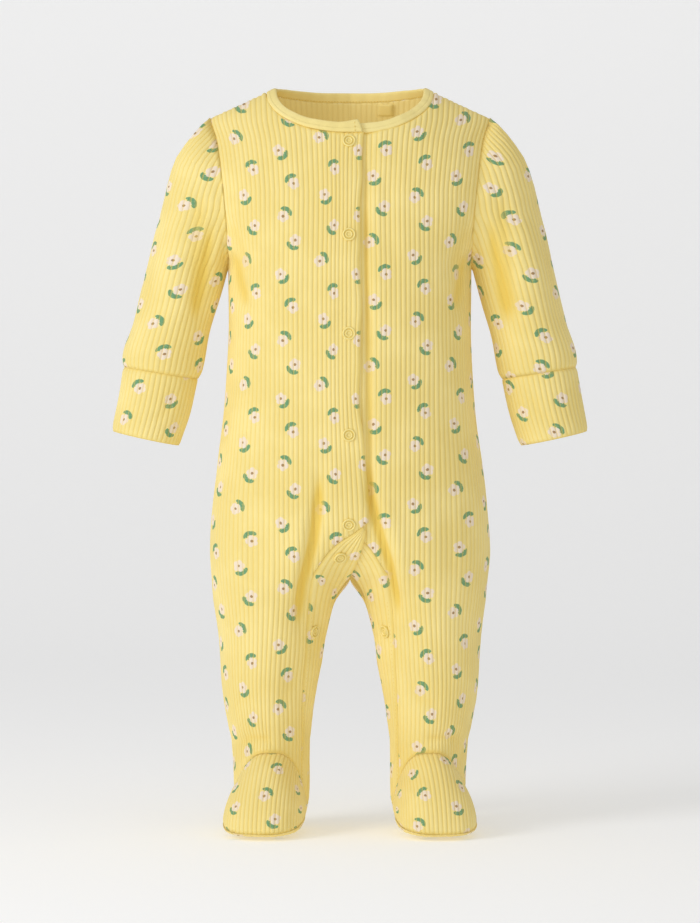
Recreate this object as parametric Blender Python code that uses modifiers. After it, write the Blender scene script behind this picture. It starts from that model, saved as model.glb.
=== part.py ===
"""Footed baby sleepsuit for 3 to 6 months, in rib knit, filled out as it is when worn.

Every piece that is cut and sewn is one thin-walled object: fronts, back, sleeves, cuffs, neck
binding, inner-leg bands, foot tops and soles, with ring snaps and a hanger loop on them.

Frame: metres, +Z up, the front faces -Y and +X is the wearer's left. The origin lies between the
shoulders, at the height of the neck's highest points, where the wearer holds the suit up.

The shape functions below work in millimetres. A point of the trunk or of a leg is given by its
height z and by c, its distance along the cloth from the centre front (or centre back), measured
so that the middle of each leg has the same c at every height.
"""

import math

import bpy
from mathutils import Vector

MM = 0.001

# Cloth
WALL = 1.4          # rib-knit wall behind its mean surface
RIB_RISE = 0.7      # from the valley to the crest of a rib
RIB_PITCH = 4.5
SEAM = 0.35         # gap between two pieces that are sewn together, each side keeps half or more
ARMHOLE_GAP = 0.5   # wider, as ribs from both sides meet there
BAND_GAP = 0.75
BINDING_WIDE = 7.4

# Heights
ARMHOLE_MID = -76.0   # down to here the armhole runs straight down
ARMPIT = -130.0
TRUNK_END = -300.0    # the crotch curve starts here
CROTCH = -362.0
WAIST_ROW = -280.0
ANKLE_RING = -480.0

# Neck and shoulder
NECK_HALF = 61.4      # half the width of the neck seam
NECK_FRONT_DROP = 33.5
NECK_BACK_DROP = 8.0
NECK_SIDE_DROP = 2.2
SHOULDER_START = 57.5
SHOULDER_SLOPE = 0.454
SHOULDER_ROUND = 58.0  # the trunk rounds over from chest to shoulder seam within this height

# Lap of the fronts
LAP = 12.0             # each front reaches this far past the centre
LAP_RISE = 0.7         # how far the right front stands proud at the lap
LAP_SINK = -1.9        # how far the left front lies under it
LEG_MIDDLE = 57.0      # c of the middle of each leg
BAND_SEAM = 28.0       # c of the seam between a front and its inner-leg band

# Foot, in its own directions: forward (xi) from the ankle's middle, and sideways
FOOT_MIDDLE = (58.5, 2.0)
FOOT_SPLAY = math.radians(7.0)
TOE_REACH = 75.0
HEEL_REACH = 29.0
ANKLE_HALF = 27.5
TOE_WIDENING = 7.0
SOLE_AT_ANKLE = -533.9
SOLE_SLOPE = 0.167
SOLE_EDGE = 4.0        # the sole turns up this far all round
INSTEP_TOP = -487.0

TRUNK = {
    "columns": ("z", "side", "front", "back"),
    "rows": (
        (30, 105.0, 30, 34),
        (0, 105.0, 36, 41),
        (-33, 105.0, 44, 49),
        (-60, 105.0, 53, 55),
        (-76, 105.0, 57, 57),
        (-95, 100.5, 60, 59),
        (-114, 94.0, 62.5, 60),
        (-130, 89.4, 64, 60),
        (-156, 89.0, 65, 58),
        (-200, 90.2, 67, 56),
        (-245, 93.6, 69.5, 58),
        (-275, 97.3, 70, 64),
        (-304, 101.0, 70, 71),
        (-341, 103.5, 68, 74),
        (-371, 101.0, 66, 72),
        (-400, 99.0, 64, 70),
    ),
}

LEG = {
    "columns": ("z", "middle", "inner", "outer", "front", "back", "fold"),
    "rows": (
        (-290, 55.0, 0.0, 99.5, 60.0, 66.0, 8),
        (-340, 55.0, 0.0, 103.5, 57.0, 66.0, 8),
        (-362, 55.3, 0.6, 101.8, 54.0, 62.0, 8),
        (-371, 55.4, 6.3, 101.0, 52.0, 60.0, 8),
        (-378, 55.6, 11.0, 100.3, 50.5, 57.0, 8),
        (-393, 56.5, 15.5, 98.0, 48.0, 53.0, 8),
        (-408, 57.5, 18.7, 96.5, 45.5, 49.0, 8),
        (-423, 58.3, 20.5, 95.8, 43.5, 46.0, 7),
        (-437, 59.0, 23.3, 95.0, 41.5, 43.0, 7),
        (-452, 59.2, 26.0, 93.2, 38.5, 40.0, 6),
        (-467, 59.2, 27.8, 90.8, 35.5, 37.0, 5),
        (-480, 58.6, 29.4, 87.6, 33.0, 34.0, 4),
        (-500, 58.0, 31.0, 85.0, 31.0, 33.0, 3),
    ),
}

ARMHOLE = {
    "columns": ("z", "x"),
    "rows": (
        (0, 106.0),
        (-22, 104.0),
        (-38, 99.0),
        (-56, 96.0),
        (-76, 93.6),
        (-95, 91.8),
        (-114, 90.6),
        (-130, 89.4),
    ),
}

# Sections of a sleeve down to the armpit are level, from the armhole out to "outer".
SLEEVE_CAP = {
    "columns": ("z", "outer", "depth"),
    "rows": (
        (-19, 104.0, 1.5),
        (-23, 109.0, 5.5),
        (-30, 114.8, 13.0),
        (-38, 121.0, 19.0),
        (-52, 130.0, 26.5),
        (-60, 133.0, 29.5),
        (-75, 136.5, 32.5),
        (-90, 139.5, 33.5),
        (-104, 143.5, 33.5),
        (-123, 148.0, 33.0),
        (-131, 149.8, 33.0),
    ),
}

# Rings of a sleeve and its cuff, each tilted to lie square to the arm.
ARM_RINGS = {
    "columns": ("level", "inner_x", "inner_z", "outer_x", "outer_z", "depth", "forward"),
    "rows": (
        (0.0, 90.1, -131.0, 149.8, -131.0, 33.0, 0.0),
        (1.0, 97.6, -158.0, 154.8, -152.0, 32.0, 0.5),
        (2.0, 104.2, -182.0, 160.0, -172.5, 30.0, 2.0),
        (3.0, 108.6, -207.0, 167.6, -199.0, 27.5, 4.0),
        (3.2, 111.6, -213.5, 167.2, -204.5, 26.0, 4.5),
    ),
}

CUFF_RINGS = {
    "columns": ("level", "inner_x", "inner_z", "outer_x", "outer_z", "depth", "forward"),
    "rows": (
        (0.0, 111.9, -214.3, 167.5, -205.3, 26.0, 4.6),
        (1.0, 117.6, -238.0, 170.9, -228.0, 25.3, 6.0),
        (2.0, 125.8, -262.5, 175.4, -251.6, 25.0, 8.0),
    ),
}

# The seam between a front and its inner-leg band, from the lap to the inner leg.
BAND_TOP = {
    "columns": ("c", "z"),
    "rows": ((-12, -316), (0, -325), (10, -331.5), (15, -336), (21, -344), (28, -357)),
}

# How far the free edge of a band reaches past the centre front.
BAND_EDGE = {
    "columns": ("z", "past_centre"),
    "rows": (
        (-316, 12.0),
        (-329, 10.4),
        (-345, 6.0),
        (-354, 2.2),
        (-359.5, -0.5),
        (-362, -4.0),
        (-366, -11.0),
        (-378, -3.0),
        (-392, 0.0),
        (-500, 0.0),
    ),
}

# Rows of a front's band while it crosses the lap: c at its seam, and the height of its edge.
BAND_START = (
    (-8, -322),
    (-2, -326),
    (4, -331),
    (9.5, -337),
    (15, -343),
    (17, -345.8),
    (19, -348.5),
    (23, -354),
    (25.5, -359.5),
    (BAND_SEAM - 0.2, -366),
)
LEG_ROWS = (-378, -400, -436, ANKLE_RING)
BAND_RIBS = 5

# The under-band's section on the centre line, as (y, z), from below the lap to the back.
UNDER_BAND_CENTRE = ((-45, -342.4), (-38.8, -349.3), (-28.5, -355.2), (-8.4, -357.6))
# Its next rows: how far its seam lies from the inseam and at what height, and its edge's height.
UNDER_BAND_START = ((10.0, -354, -366.0), (17.0, -366, -373.0))
UNDER_BAND_LEG_ROWS = (-388, -410, -435, -460, ANKLE_RING)
UNDER_BAND_WIDE = 17.0
UNDER_BAND_STEPS = len(UNDER_BAND_CENTRE) - 1

SNAPS = {
    "columns": ("side", "x", "z", "level"),
    "rows": (
        (-1, 0.7, -40.0, LAP_RISE),
        (-1, 0.7, -108.0, LAP_RISE - 1.2),
        (-1, 0.7, -179.5, LAP_RISE - 0.1),
        (-1, 0.7, -253.0, LAP_RISE - 0.7),
        (-1, 0.7, -317.5, LAP_RISE - 0.2),
        (-1, 7.4, -342.0, LAP_RISE + 0.2),
        (-1, 26.0, -398.5, 0.0),
        (1, 25.5, -398.5, 0.0),
    ),
}
CAP_RADIUS = 4.6
SNAP_PROFILE = ((4.4, 0), (CAP_RADIUS, 0.3), (3.9, 1.0), (3.0, 0.45), (2.3, 0.85), (1.6, 0.6))
SNAP_SIDES = 10

BINDING_START = math.radians(7.5)
BINDING_END = math.radians(-370.0)
BINDING_STATIONS = 36
BINDING_PROFILE = (
    (0.06, -1.5),
    (0.06, 0.7),
    (0.55, 0.95),
    (0.93, 0.55),
    (1.0, -0.35),
    (0.93, -1.25),
    (0.55, -1.65),
)

LOOP_FROM, LOOP_TO = 20.0, 30.7
LOOP_HEIGHTS = (-8.5, -12.0, -16.0)
LOOP_LEVEL = -1.9

HEEL_BULGE = 5.0
FOOT_TOP_EDGE = 0.03
SOLE_EDGE_COLUMN = 0.97
SOLE_SHARES = (0.0, 0.05, 0.2, 0.5, 0.8, 0.95, 1.0)
CAP_TOP = -21.5
ARMHOLE_TOP = -24.0
ARMHOLE_LOW = -112.0
CAP_SPREAD = 32.0      # how far apart the sleeve's topmost ribs start, from its middle to underarm
SLEEVE_BEND = (-92.0, -50.0)  # where the armhole turns round the arm, between these heights
SLEEVE_LEVELS = (1.3, 3.0, 3.2)
CUFF_LEVELS = (0.0, 2.0)

# How finely the walls are drawn
INNER_STEP = 4
SHOULDER_ROWS = 3
CHEST_ROWS = 3
HIP_SHARES = {"front": (0.0, 0.45, 0.8, 1.0), "back": (0.0, 0.42, 0.7, 0.9, 1.0)}
CENTRE_CLEAR = 1.3
INSTEP_ROWS = 2
HEEL_ROWS = 3
CAP_ROWS = 4
SLEEVE_RIBS = 42
CUFF_RIBS = 38
FOOT_TOP_RIBS = 22
FOOT_TOP_ROWS = 3
SOLE_RIBS = 12
MIRROR_MERGE = 0.00002

RIB_COLOUR = (0.86, 0.69, 0.26, 1)
BAND_COLOUR = (0.84, 0.66, 0.24, 1)
CUFF_COLOUR = (0.84, 0.67, 0.25, 1)
BINDING_COLOUR = (0.88, 0.72, 0.32, 1)
SNAP_COLOUR = (0.90, 0.76, 0.38, 1)


# Small tools


def smooth(value):
    """0 below 0, 1 above 1, with a soft start and end between them."""
    value = min(max(value, 0.0), 1.0)
    return value * value * (3 - 2 * value)


def mix(a, b, share):
    return a + (b - a) * share


def curve_through(table, column):
    """A smooth function of the table's first column that keeps between neighbouring rows."""
    place = table["columns"].index(column)
    rows = sorted(table["rows"])
    xs = [row[0] for row in rows]
    ys = [row[place] for row in rows]
    steps = [(ys[i + 1] - ys[i]) / (xs[i + 1] - xs[i]) for i in range(len(xs) - 1)]
    slopes = [steps[0]]
    for before, after in zip(steps, steps[1:]):
        slopes.append(2 * before * after / (before + after) if before * after > 0 else 0.0)
    slopes.append(steps[-1])

    def value_at(x):
        if x <= xs[0]:
            return ys[0]
        if x >= xs[-1]:
            return ys[-1]
        i = max(k for k in range(len(xs) - 1) if xs[k] <= x)
        width = xs[i + 1] - xs[i]
        t = (x - xs[i]) / width
        return (
            ys[i] * (1 + 2 * t) * (1 - t) ** 2
            + slopes[i] * width * t * (1 - t) ** 2
            + ys[i + 1] * t * t * (3 - 2 * t)
            + slopes[i + 1] * width * t * t * (t - 1)
        )

    return value_at


def columns_of(table):
    return {name: curve_through(table, name) for name in table["columns"][1:]}


trunk = columns_of(TRUNK)
leg = columns_of(LEG)
armhole_x = curve_through(ARMHOLE, "x")
cap = columns_of(SLEEVE_CAP)
arm_rings = columns_of(ARM_RINGS)
cuff_rings = columns_of(CUFF_RINGS)
band_top = curve_through(BAND_TOP, "z")
past_centre = curve_through(BAND_EDGE, "past_centre")


def arc_table(points):
    """The length along a run of points at each of them."""
    lengths = [0.0]
    for before, after in zip(points, points[1:]):
        lengths.append(lengths[-1] + math.dist(before, after))
    return lengths


def point_along(points, lengths, distance):
    """The point at this length along a run of points, carried straight on past its ends."""
    last = len(points) - 2
    i = 0
    while i < last and lengths[i + 1] < distance:
        i += 1
    share = (distance - lengths[i]) / (lengths[i + 1] - lengths[i])
    return tuple(mix(a, b, share) for a, b in zip(points[i], points[i + 1]))


# The form of the trunk and legs, for the wearer's left half. Depths are positive on either face.

TRUNK_POWER = {"front": 2.5, "back": 2.4}
INNER_POWER = {"front": 1.7, "back": 2.2}
OUTER_POWER = 2.1
GROOVE_HALF = 7.0
SECTION_STEPS = 24


def leg_share(z):
    """0 on the trunk and 1 on the leg: the crotch curve, a quarter ellipse seen from the side."""
    down = min(max((TRUNK_END - z) / (TRUNK_END - CROTCH), 0.0), 1.0)
    return 1 - math.sqrt(1 - down * down)


def trunk_depth(x, z, face):
    outward = min(abs(x) / trunk["side"](z), 1.0)
    return trunk[face](z) * (1 - outward ** TRUNK_POWER[face]) ** (1 / TRUNK_POWER[face])


def fill_groove(points):
    """Cloth bridges the groove between the legs in front with a round bottom."""
    beyond = next(i for i, (x, _) in enumerate(points) if x >= GROOVE_HALF)
    (x, depth), (next_x, next_depth) = points[beyond], points[beyond + 1]
    slope = (next_depth - depth) / (next_x - x)
    floor = depth - slope * x / 2
    filled = [(x * i / beyond, floor + slope * x / 2 * (i / beyond) ** 2) for i in range(beyond)]
    return filled + points[beyond:]


def make_section(z, face):
    """Half a level section, from the centre or the inseam to the side seam, as (x, depth)."""
    inward = leg_share(z)
    outward = smooth((TRUNK_END - z) / 100)
    middle = leg["middle"](z)
    inner = leg["inner"](z)
    depth = leg[face](z)
    fold = leg["fold"](z) * (1 if face == "front" else -1)
    side = trunk["side"](z)
    outer = leg["outer"](z)
    points = []
    for step in range(SECTION_STEPS):
        share = step / SECTION_STEPS
        turn = share * math.pi / 2
        power = 2 / INNER_POWER[face]
        on_trunk = (middle * share, trunk_depth(middle * share, z, face))
        on_leg = (
            middle - (middle - inner) * math.cos(turn) ** power,
            fold + (depth - fold) * math.sin(turn) ** power,
        )
        points.append(tuple(mix(a, b, inward) for a, b in zip(on_trunk, on_leg)))
    if face == "front" and z > CROTCH:
        points = fill_groove(points)
    bend = 2 / TRUNK_POWER[face]
    start = math.asin((middle / side) ** (1 / bend))
    for step in range(SECTION_STEPS + 1):
        share = step / SECTION_STEPS
        angle = mix(start, math.pi / 2, share)
        cosine = max(math.cos(angle), 0.0)
        on_trunk = (side * math.sin(angle) ** bend, trunk[face](z) * cosine**bend)
        turn = share * math.pi / 2
        power = 2 / OUTER_POWER
        on_leg = (
            middle + (outer - middle) * math.sin(turn) ** power,
            depth * max(math.cos(turn), 0.0) ** power,
        )
        reach = mix(inward, outward, share)
        points.append(tuple(mix(a, b, reach) for a, b in zip(on_trunk, on_leg)))
    lengths = arc_table(points)
    shift = LEG_MIDDLE - lengths[SECTION_STEPS]
    return points, lengths, shift


sections = {}


def section(z, face):
    key = (round(z, 3), face)
    if key not in sections:
        sections[key] = make_section(z, face)
    return sections[key]


def start_c(z, face="front"):
    """c of the centre front or back, or of the inseam."""
    return section(z, face)[2]


def side_c(z, face="front"):
    """c of the side seam."""
    _, lengths, shift = section(z, face)
    return lengths[-1] + shift


def on_section(c, z, face):
    """(x, depth) at c. Before the section's start it goes on over the centre, or round the inseam."""
    points, lengths, shift = section(z, face)
    distance = c - shift
    if distance >= 0:
        return point_along(points, lengths, min(distance, lengths[-1]))
    if z > CROTCH:
        x, depth = point_along(points, lengths, -distance)
        return -x, depth
    other = "back" if face == "front" else "front"
    points, lengths, shift = section(z, other)
    x, depth = point_along(points, lengths, -distance)
    return x, -depth


def shoulder_z(x):
    return -(abs(x) - SHOULDER_START) * SHOULDER_SLOPE


def shoulder_rounding(x, z):
    """1 on the chest, and 0 at the shoulder seam."""
    below = min(max(shoulder_z(x) - z, 0.0) / SHOULDER_ROUND, 1.0)
    return math.sqrt(1 - (1 - below) ** 2)


def body_point(c, z, face):
    """The mean surface of the trunk or leg."""
    outwards = -1 if face == "front" else 1
    if z <= ARMHOLE_MID:
        x, depth = on_section(c, z, face)
        if z > TRUNK_END or x > LEG_MIDDLE:
            depth = max(depth, SEAM / 2)
        return Vector((x, outwards * depth, z))
    x, _ = on_section(c, ARMHOLE_MID, face)
    x *= armhole_x(z) / armhole_x(ARMHOLE_MID)
    depth = max(trunk_depth(x, z, face) * shoulder_rounding(x, z), SEAM / 2)
    return Vector((x, outwards * depth, z))


def neck_z(x, face):
    """Height of the neck seam, and of the shoulder seam outside it."""
    across = min(abs(x) / NECK_HALF, 1.0)
    if abs(x) >= NECK_HALF:
        return shoulder_z(x)
    if face == "front":
        return mix(-NECK_FRONT_DROP, -NECK_SIDE_DROP, 1 - math.sqrt(1 - across * across))
    return mix(-NECK_BACK_DROP, -NECK_SIDE_DROP, across**2.5)


def top_z(c, face, first=None):
    """Height of the upper edge of a front or back at c."""
    z = 0.0
    for _ in range(8):
        z = neck_z(panel_point(c, z, face, 0.0, first).x, face)
    return z


def armhole_c(z, face):
    """c at which the armhole cuts a level section below ARMHOLE_MID."""
    points, lengths, shift = section(z, face)
    limit = armhole_x(z)
    for i, (x, _) in enumerate(points[1:], 1):
        if x >= limit:
            share = (limit - points[i - 1][0]) / (x - points[i - 1][0])
            return mix(lengths[i - 1], lengths[i], share) + shift
    return lengths[-1] + shift


def armhole_z(c, face):
    """Height at which the lower armhole cuts the cloth at c."""
    high, low = ARMHOLE_MID, ARMPIT
    for _ in range(24):
        z = (high + low) / 2
        if armhole_c(z, face) < c:
            high = z
        else:
            low = z
    return (high + low) / 2


def spread(c, z, face):
    """Ribs beyond the middle of the leg fan out with the girth, and others run straight down."""
    if c <= LEG_MIDDLE or z >= ARMPIT:
        return c
    chest = side_c(ARMPIT, face)
    return LEG_MIDDLE + (c - LEG_MIDDLE) * (side_c(z, face) - LEG_MIDDLE) / (chest - LEG_MIDDLE)


# Sole edge and ankle


def foot_place(forward, sideways, z):
    """A point of the left foot from its own forward and outward distances."""
    x = FOOT_MIDDLE[0] + forward * math.sin(FOOT_SPLAY) + sideways * math.cos(FOOT_SPLAY)
    y = FOOT_MIDDLE[1] - forward * math.cos(FOOT_SPLAY) + sideways * math.sin(FOOT_SPLAY)
    return Vector((x, y, z))


def sole_z(forward):
    return SOLE_AT_ANKLE - SOLE_SLOPE * forward


def sole_outline(turn):
    """(forward, sideways) of the sole seam: 0 at the outer side, half pi at the toe, pi inside."""
    cosine, sine = math.cos(turn), math.sin(turn)
    if sine >= 0:
        forward = TOE_REACH * sine ** (2 / 3)
        half = ANKLE_HALF + TOE_WIDENING * forward / TOE_REACH
        power = 2 / 3
    else:
        forward = -HEEL_REACH * (-sine) ** (2 / 2.3)
        half = ANKLE_HALF
        power = 2 / 2.3
    return forward, math.copysign(half * abs(cosine) ** power, cosine)


def sole_seam(turn, lift=0.0):
    forward, sideways = sole_outline(turn)
    return foot_place(forward, sideways, sole_z(forward) + SOLE_EDGE + lift)


INSTEP_POWER = 3.1


def instep_seam(ring_point):
    """The seam over the foot below a point of the ankle ring, on the front face."""
    middle = leg["middle"](ANKLE_RING)
    across = ring_point.x - middle
    half = (leg["outer"](ANKLE_RING) if across > 0 else 2 * middle - leg["inner"](ANKLE_RING)) - middle
    side = min(abs(across) / half, 1.0) ** INSTEP_POWER
    corner = sole_seam(0.0) if across > 0 else sole_seam(math.pi)
    ring_side = middle + math.copysign(half, across)
    z = mix(INSTEP_TOP, corner.z, side)
    return Vector((ring_point.x + (corner.x - ring_side) * side, mix(ring_point.y, corner.y, side), z))


# Walls


def wall_object(
    name, points, outwards, colour, cells=None, wrap=False, mirror_rows=0, stops=(), known=None, ribbed=True
):
    """A closed thin-walled object from rows of points on its mean surface.

    Rows run downwards, and outwards is 1 where down x across points out of the cloth. Odd columns
    of the outer face are rib crests. The inner face is plain and keeps only every few columns,
    with those in stops. cells(row, column) says where there is cloth, wrap closes the columns
    into a tube and mirror_rows counts the rows whose first column lies on x = 0. known(row,
    column) may give the direction out of the cloth, so that two pieces agree at their seam.
    """
    rows, count = len(points), len(points[0])
    spans = count if wrap else count - 1
    exists = cells or (lambda row, column: True)

    def at(row, column):
        return points[row][column % count if wrap else column]

    def has_point(row, column):
        return 0 <= row < rows and (wrap or 0 <= column < count) and at(row, column) is not None

    def normal(row, column):
        given = known(row, column) if known else None
        if given:
            return given.normalized()
        before = column - 1 if has_point(row, column - 1) else column
        after = column + 1 if has_point(row, column + 1) else column
        above = row - 1 if has_point(row - 1, column) else row
        below = row + 1 if has_point(row + 1, column) else row
        across = at(row, after) - at(row, before)
        down = at(below, column) - at(above, column)
        found = down.cross(across) * outwards
        if mirror_rows and column == 0 and row < mirror_rows:
            found.x = 0
        return found.normalized()

    keep = sorted(set(range(0, spans, INNER_STEP)) | set(stops) | {spans})
    if spans - keep[-2] < INNER_STEP / 2 and keep[-2] not in stops:
        keep.remove(keep[-2])
    vertices = []
    outer, inner = {}, {}
    for row in range(rows):
        for column in range(count):
            if at(row, column) is None:
                continue
            direction = normal(row, column)
            rise = RIB_RISE * (0.5 if column % 2 else -0.5) if ribbed else 0
            outer[row, column] = len(vertices)
            vertices.append((at(row, column) + direction * rise) * MM)
            if column in keep:
                inner[row, column] = len(vertices)
                vertices.append((at(row, column) - direction * WALL) * MM)

    def cell(row, column):
        inside = 0 <= row < rows - 1 and (wrap or 0 <= column < spans)
        return inside and exists(row, column % count)

    def o(row, column):
        return outer[row, column % count if wrap else column]

    def i(row, column):
        return inner[row, column % count if wrap else column]

    faces = []
    for row in range(rows - 1):
        for column in range(spans):
            if cell(row, column):
                faces.append((o(row, column), o(row + 1, column), o(row + 1, column + 1), o(row, column + 1)))
        for left, right in zip(keep, keep[1:]):
            if not cell(row, left):
                continue
            faces.append((i(row, right), i(row + 1, right), i(row + 1, left), i(row, left)))
            for edge, missing, facing in ((left, left - 1, 1), (right, right, -1)):
                if cell(row, missing) or (edge == 0 and row < mirror_rows - 1):
                    continue
                side = (o(row, edge), i(row, edge), i(row + 1, edge), o(row + 1, edge))
                faces.append(side[::facing])
            for end, missing, facing in ((row, row - 1, 1), (row + 1, row + 1, -1)):
                if cell(missing, left):
                    continue
                half = (left + right) // 2
                for column in range(left, right):
                    corner = i(end, left if column < half else right)
                    faces.append((o(end, column), o(end, column + 1), corner)[::facing])
                faces.append((i(end, left), o(end, half), i(end, right))[::facing])
    if outwards < 0:
        faces = [face[::-1] for face in faces]
    return mesh_object(name, vertices, faces, colour, bool(mirror_rows))


def mesh_object(name, vertices, faces, colour, mirrored=False):
    mesh = bpy.data.meshes.new(name)
    mesh.from_pydata([tuple(vertex) for vertex in vertices], [], faces)
    mesh.update()
    built = bpy.data.objects.new(name, mesh)
    garment.objects.link(built)
    if mirrored:
        mirror = built.modifiers.new("Both halves", "MIRROR")
        mirror.merge_threshold = MIRROR_MERGE
    built.data.materials.append(cloth_material(name, colour))
    return built


def cloth_material(name, colour):
    material = bpy.data.materials.new(name)
    material.use_nodes = True
    shader = material.node_tree.nodes["Principled BSDF"]
    shader.inputs["Base Color"].default_value = colour
    shader.inputs["Roughness"].default_value = 0.85
    shader.inputs["Metallic"].default_value = 0.0
    return material


def for_side(points, side):
    """The same rows of points for the wearer's left (1) or right (-1) half."""
    return [[None if p is None else Vector((p.x * side, p.y, p.z)) for p in row] for row in points]


# Fronts and back


def panel_columns(first, marks):
    """Values of c at the chest, two to a rib, that pass through each mark, and the marks' places."""
    columns, stops = [first], [0]
    for before, after in zip([first] + marks, marks):
        count = 2 * max(round((after - before) / RIB_PITCH), 1)
        columns += [mix(before, after, k / count) for k in range(1, count + 1)]
        stops.append(len(columns) - 1)
    return columns, stops


def lap_level(c, over):
    """How far a front stands off the trunk's surface near the lap."""
    if over:
        return LAP_RISE * smooth((30 - c) / 22)
    return LAP_SINK * smooth((24.5 - c) / 10.5)


def spread_inside(c, z, first):
    """On the back, ribs also fan out from the middle of the leg to the inseam."""
    if c >= LEG_MIDDLE:
        return c
    now = LEG_MIDDLE - start_c(min(z, ARMHOLE_MID), "back")
    return LEG_MIDDLE - (LEG_MIDDLE - c) * now / (LEG_MIDDLE - first)


def panel_place(c, z, face, first=None):
    """c at this height of the rib that has this c at the chest."""
    if first is not None:
        c = spread_inside(c, z, first)
    return spread(c, z, face)


def panel_point(c, z, face, level=0.0, first=None):
    """A point of a front or of the back, whose ribs are named by their c at the chest."""
    place = panel_place(c, z, face, first)
    point = body_point(place, z, face)
    if level:
        point += surface_normal(place, z, face) * level
    return point


def surface_normal(c, z, face):
    """The direction out of the body's surface, level across the side and the inseam."""
    step = 0.5
    across = body_point(c + step, z, face) - body_point(c - step, z, face)
    down = body_point(c, z - step, face) - body_point(c, z + step, face)
    found = (down.cross(across) * (1 if face == "front" else -1)).normalized()
    at_side = z < ARMPIT and c > side_c(z, face) - 1
    at_inseam = z < CROTCH and c < start_c(z, face) + 1
    on_shoulder = z > shoulder_z(body_point(c, z, face).x) - 0.5
    if at_side or at_inseam or on_shoulder:
        found.y = 0
    return found.normalized()


def trunk_rows(columns, arm, face, hip_bottom, first=None):
    """Rows of heights, from the neck and shoulder to the lower edge of the trunk."""
    rows = []
    for k in range(SHOULDER_ROWS):
        share = (k / SHOULDER_ROWS) ** 1.7
        row = [mix(top_z(c, face, first), ARMHOLE_MID, share) for c in columns[: arm + 1]]
        rows.append(row + [None] * (len(columns) - len(row)))
    for k in range(CHEST_ROWS):
        row = []
        for j, c in enumerate(columns):
            top = ARMHOLE_MID if j <= arm else armhole_z(c, face) - SEAM
            row.append(mix(top, WAIST_ROW, k / CHEST_ROWS))
        rows.append(row)
    for share in HIP_SHARES[face]:
        rows.append([mix(WAIST_ROW, hip_bottom(c), share) for c in columns])
    return rows


def panel_walls(columns, heights, face, level_at, first=None):
    """(points, normals) of a panel from its rows of heights."""
    points, normals = [], []
    for row in heights:
        points.append([])
        normals.append([])
        for c, z in zip(columns, row):
            if z is None:
                points[-1].append(None)
                normals[-1].append(None)
                continue
            points[-1].append(panel_point(c, z, face, level_at(c), first))
            normals[-1].append(surface_normal(panel_place(c, z, face, first), z, face))
    return points, normals


def neck_normals(points, normals):
    """Along the neck, the panel's edge is square to the binding."""
    for column, point in enumerate(points[0]):
        if point and abs(point.x) < NECK_HALF:
            turn = math.asin(point.x / NECK_HALF)
            if point.y > 0:
                turn = math.pi - turn
            normals[0][column] = neck_frame(turn)[2]


def neck_stops(row):
    """Columns where the neck curves most, which the inner face keeps too."""
    return [j for j, p in enumerate(row) if p and j % 2 == 0 and 0.7 * NECK_HALF < p.x < NECK_HALF + 4]


def armhole_edge(face):
    """The cut edge of a panel at the armhole, from the shoulder to ARMHOLE_MID."""
    c = armhole_c(ARMHOLE_MID, face) - SEAM / 2
    top = top_z(c, face)
    heights = [mix(top, ARMHOLE_MID, (k / SHOULDER_ROWS) ** 1.7) for k in range(SHOULDER_ROWS + 1)]
    return [panel_point(c, z, face) for z in heights]


def on_edge(edge, z):
    """The point of an edge that falls from its first point, at this height."""
    for above, below in zip(edge, edge[1:]):
        if z >= below.z:
            return above.lerp(below, min(max((z - above.z) / (below.z - above.z), 0.0), 1.0))
    return edge[-1]


def armhole_normals(points, normals, arm):
    """Along the armhole, the panel's edge is square to the sleeve's."""
    for row in range(SHOULDER_ROWS + 1):
        normals[row][arm] = armhole_normal(points[row][arm])
    notch = points[SHOULDER_ROWS]
    for column in range(arm + 1, len(notch)):
        if notch[column].z > ARMHOLE_LOW:
            normals[SHOULDER_ROWS][column] = armhole_normal(notch[column])


def armhole_normal(point):
    """Out of the cloth at the armhole seam, on the shoulder up and on the chest forwards or back."""
    up = smooth((point.z - ARMHOLE_MID) / (ARMHOLE_TOP - ARMHOLE_MID))
    facing = -1 if point.y < 0 else 1
    return Vector((mix(-0.1, 0.55, up), facing * (1 - up), up)).normalized()


def front(name, side, over):
    arm_c = armhole_c(ARMHOLE_MID, "front")
    marks = [BAND_SEAM, arm_c - SEAM / 2, side_c(ARMPIT, "front") - SEAM / 2]
    columns, stops = panel_columns(-LAP, marks)
    _, seam, arm, last = stops
    heights = trunk_rows(columns, arm, "front", lambda c: band_top(min(c, BAND_SEAM)))
    trunk_end = len(heights) - 1
    for z in LEG_ROWS:
        heights.append([None] * seam + [z] * (len(columns) - seam))
    points, normals = panel_walls(columns, heights, "front", lambda c: lap_level(c, over))
    neck_normals(points, normals)
    armhole_normals(points, normals, arm)
    lower, lower_normals = down_to_instep(points[-1], normals[-1])

    def cells(row, column):
        if row < SHOULDER_ROWS:
            return column < arm
        return row < trunk_end or column >= seam

    stops += neck_stops(points[0])
    put_wall(name, points + lower, normals + lower_normals, side, side, cells=cells, stops=stops)


def put_wall(name, points, normals, side, outwards, colour=RIB_COLOUR, **more):
    """A wall for the wearer's left (1) or right (-1), from points and normals of the left half."""
    turned = for_side(normals, side)
    wall_object(
        name, for_side(points, side), outwards, colour, known=lambda row, column: turned[row][column], **more
    )


def hang(start, end, share, out=None):
    """A way down from the ankle ring that ends upright, pushed outwards by out on its way."""
    pull = Vector((end.x, end.y, mix(end.z, start.z, 0.4)))
    if out:
        pull += out
    return start.lerp(pull, share).lerp(pull.lerp(end, share), share)


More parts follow.
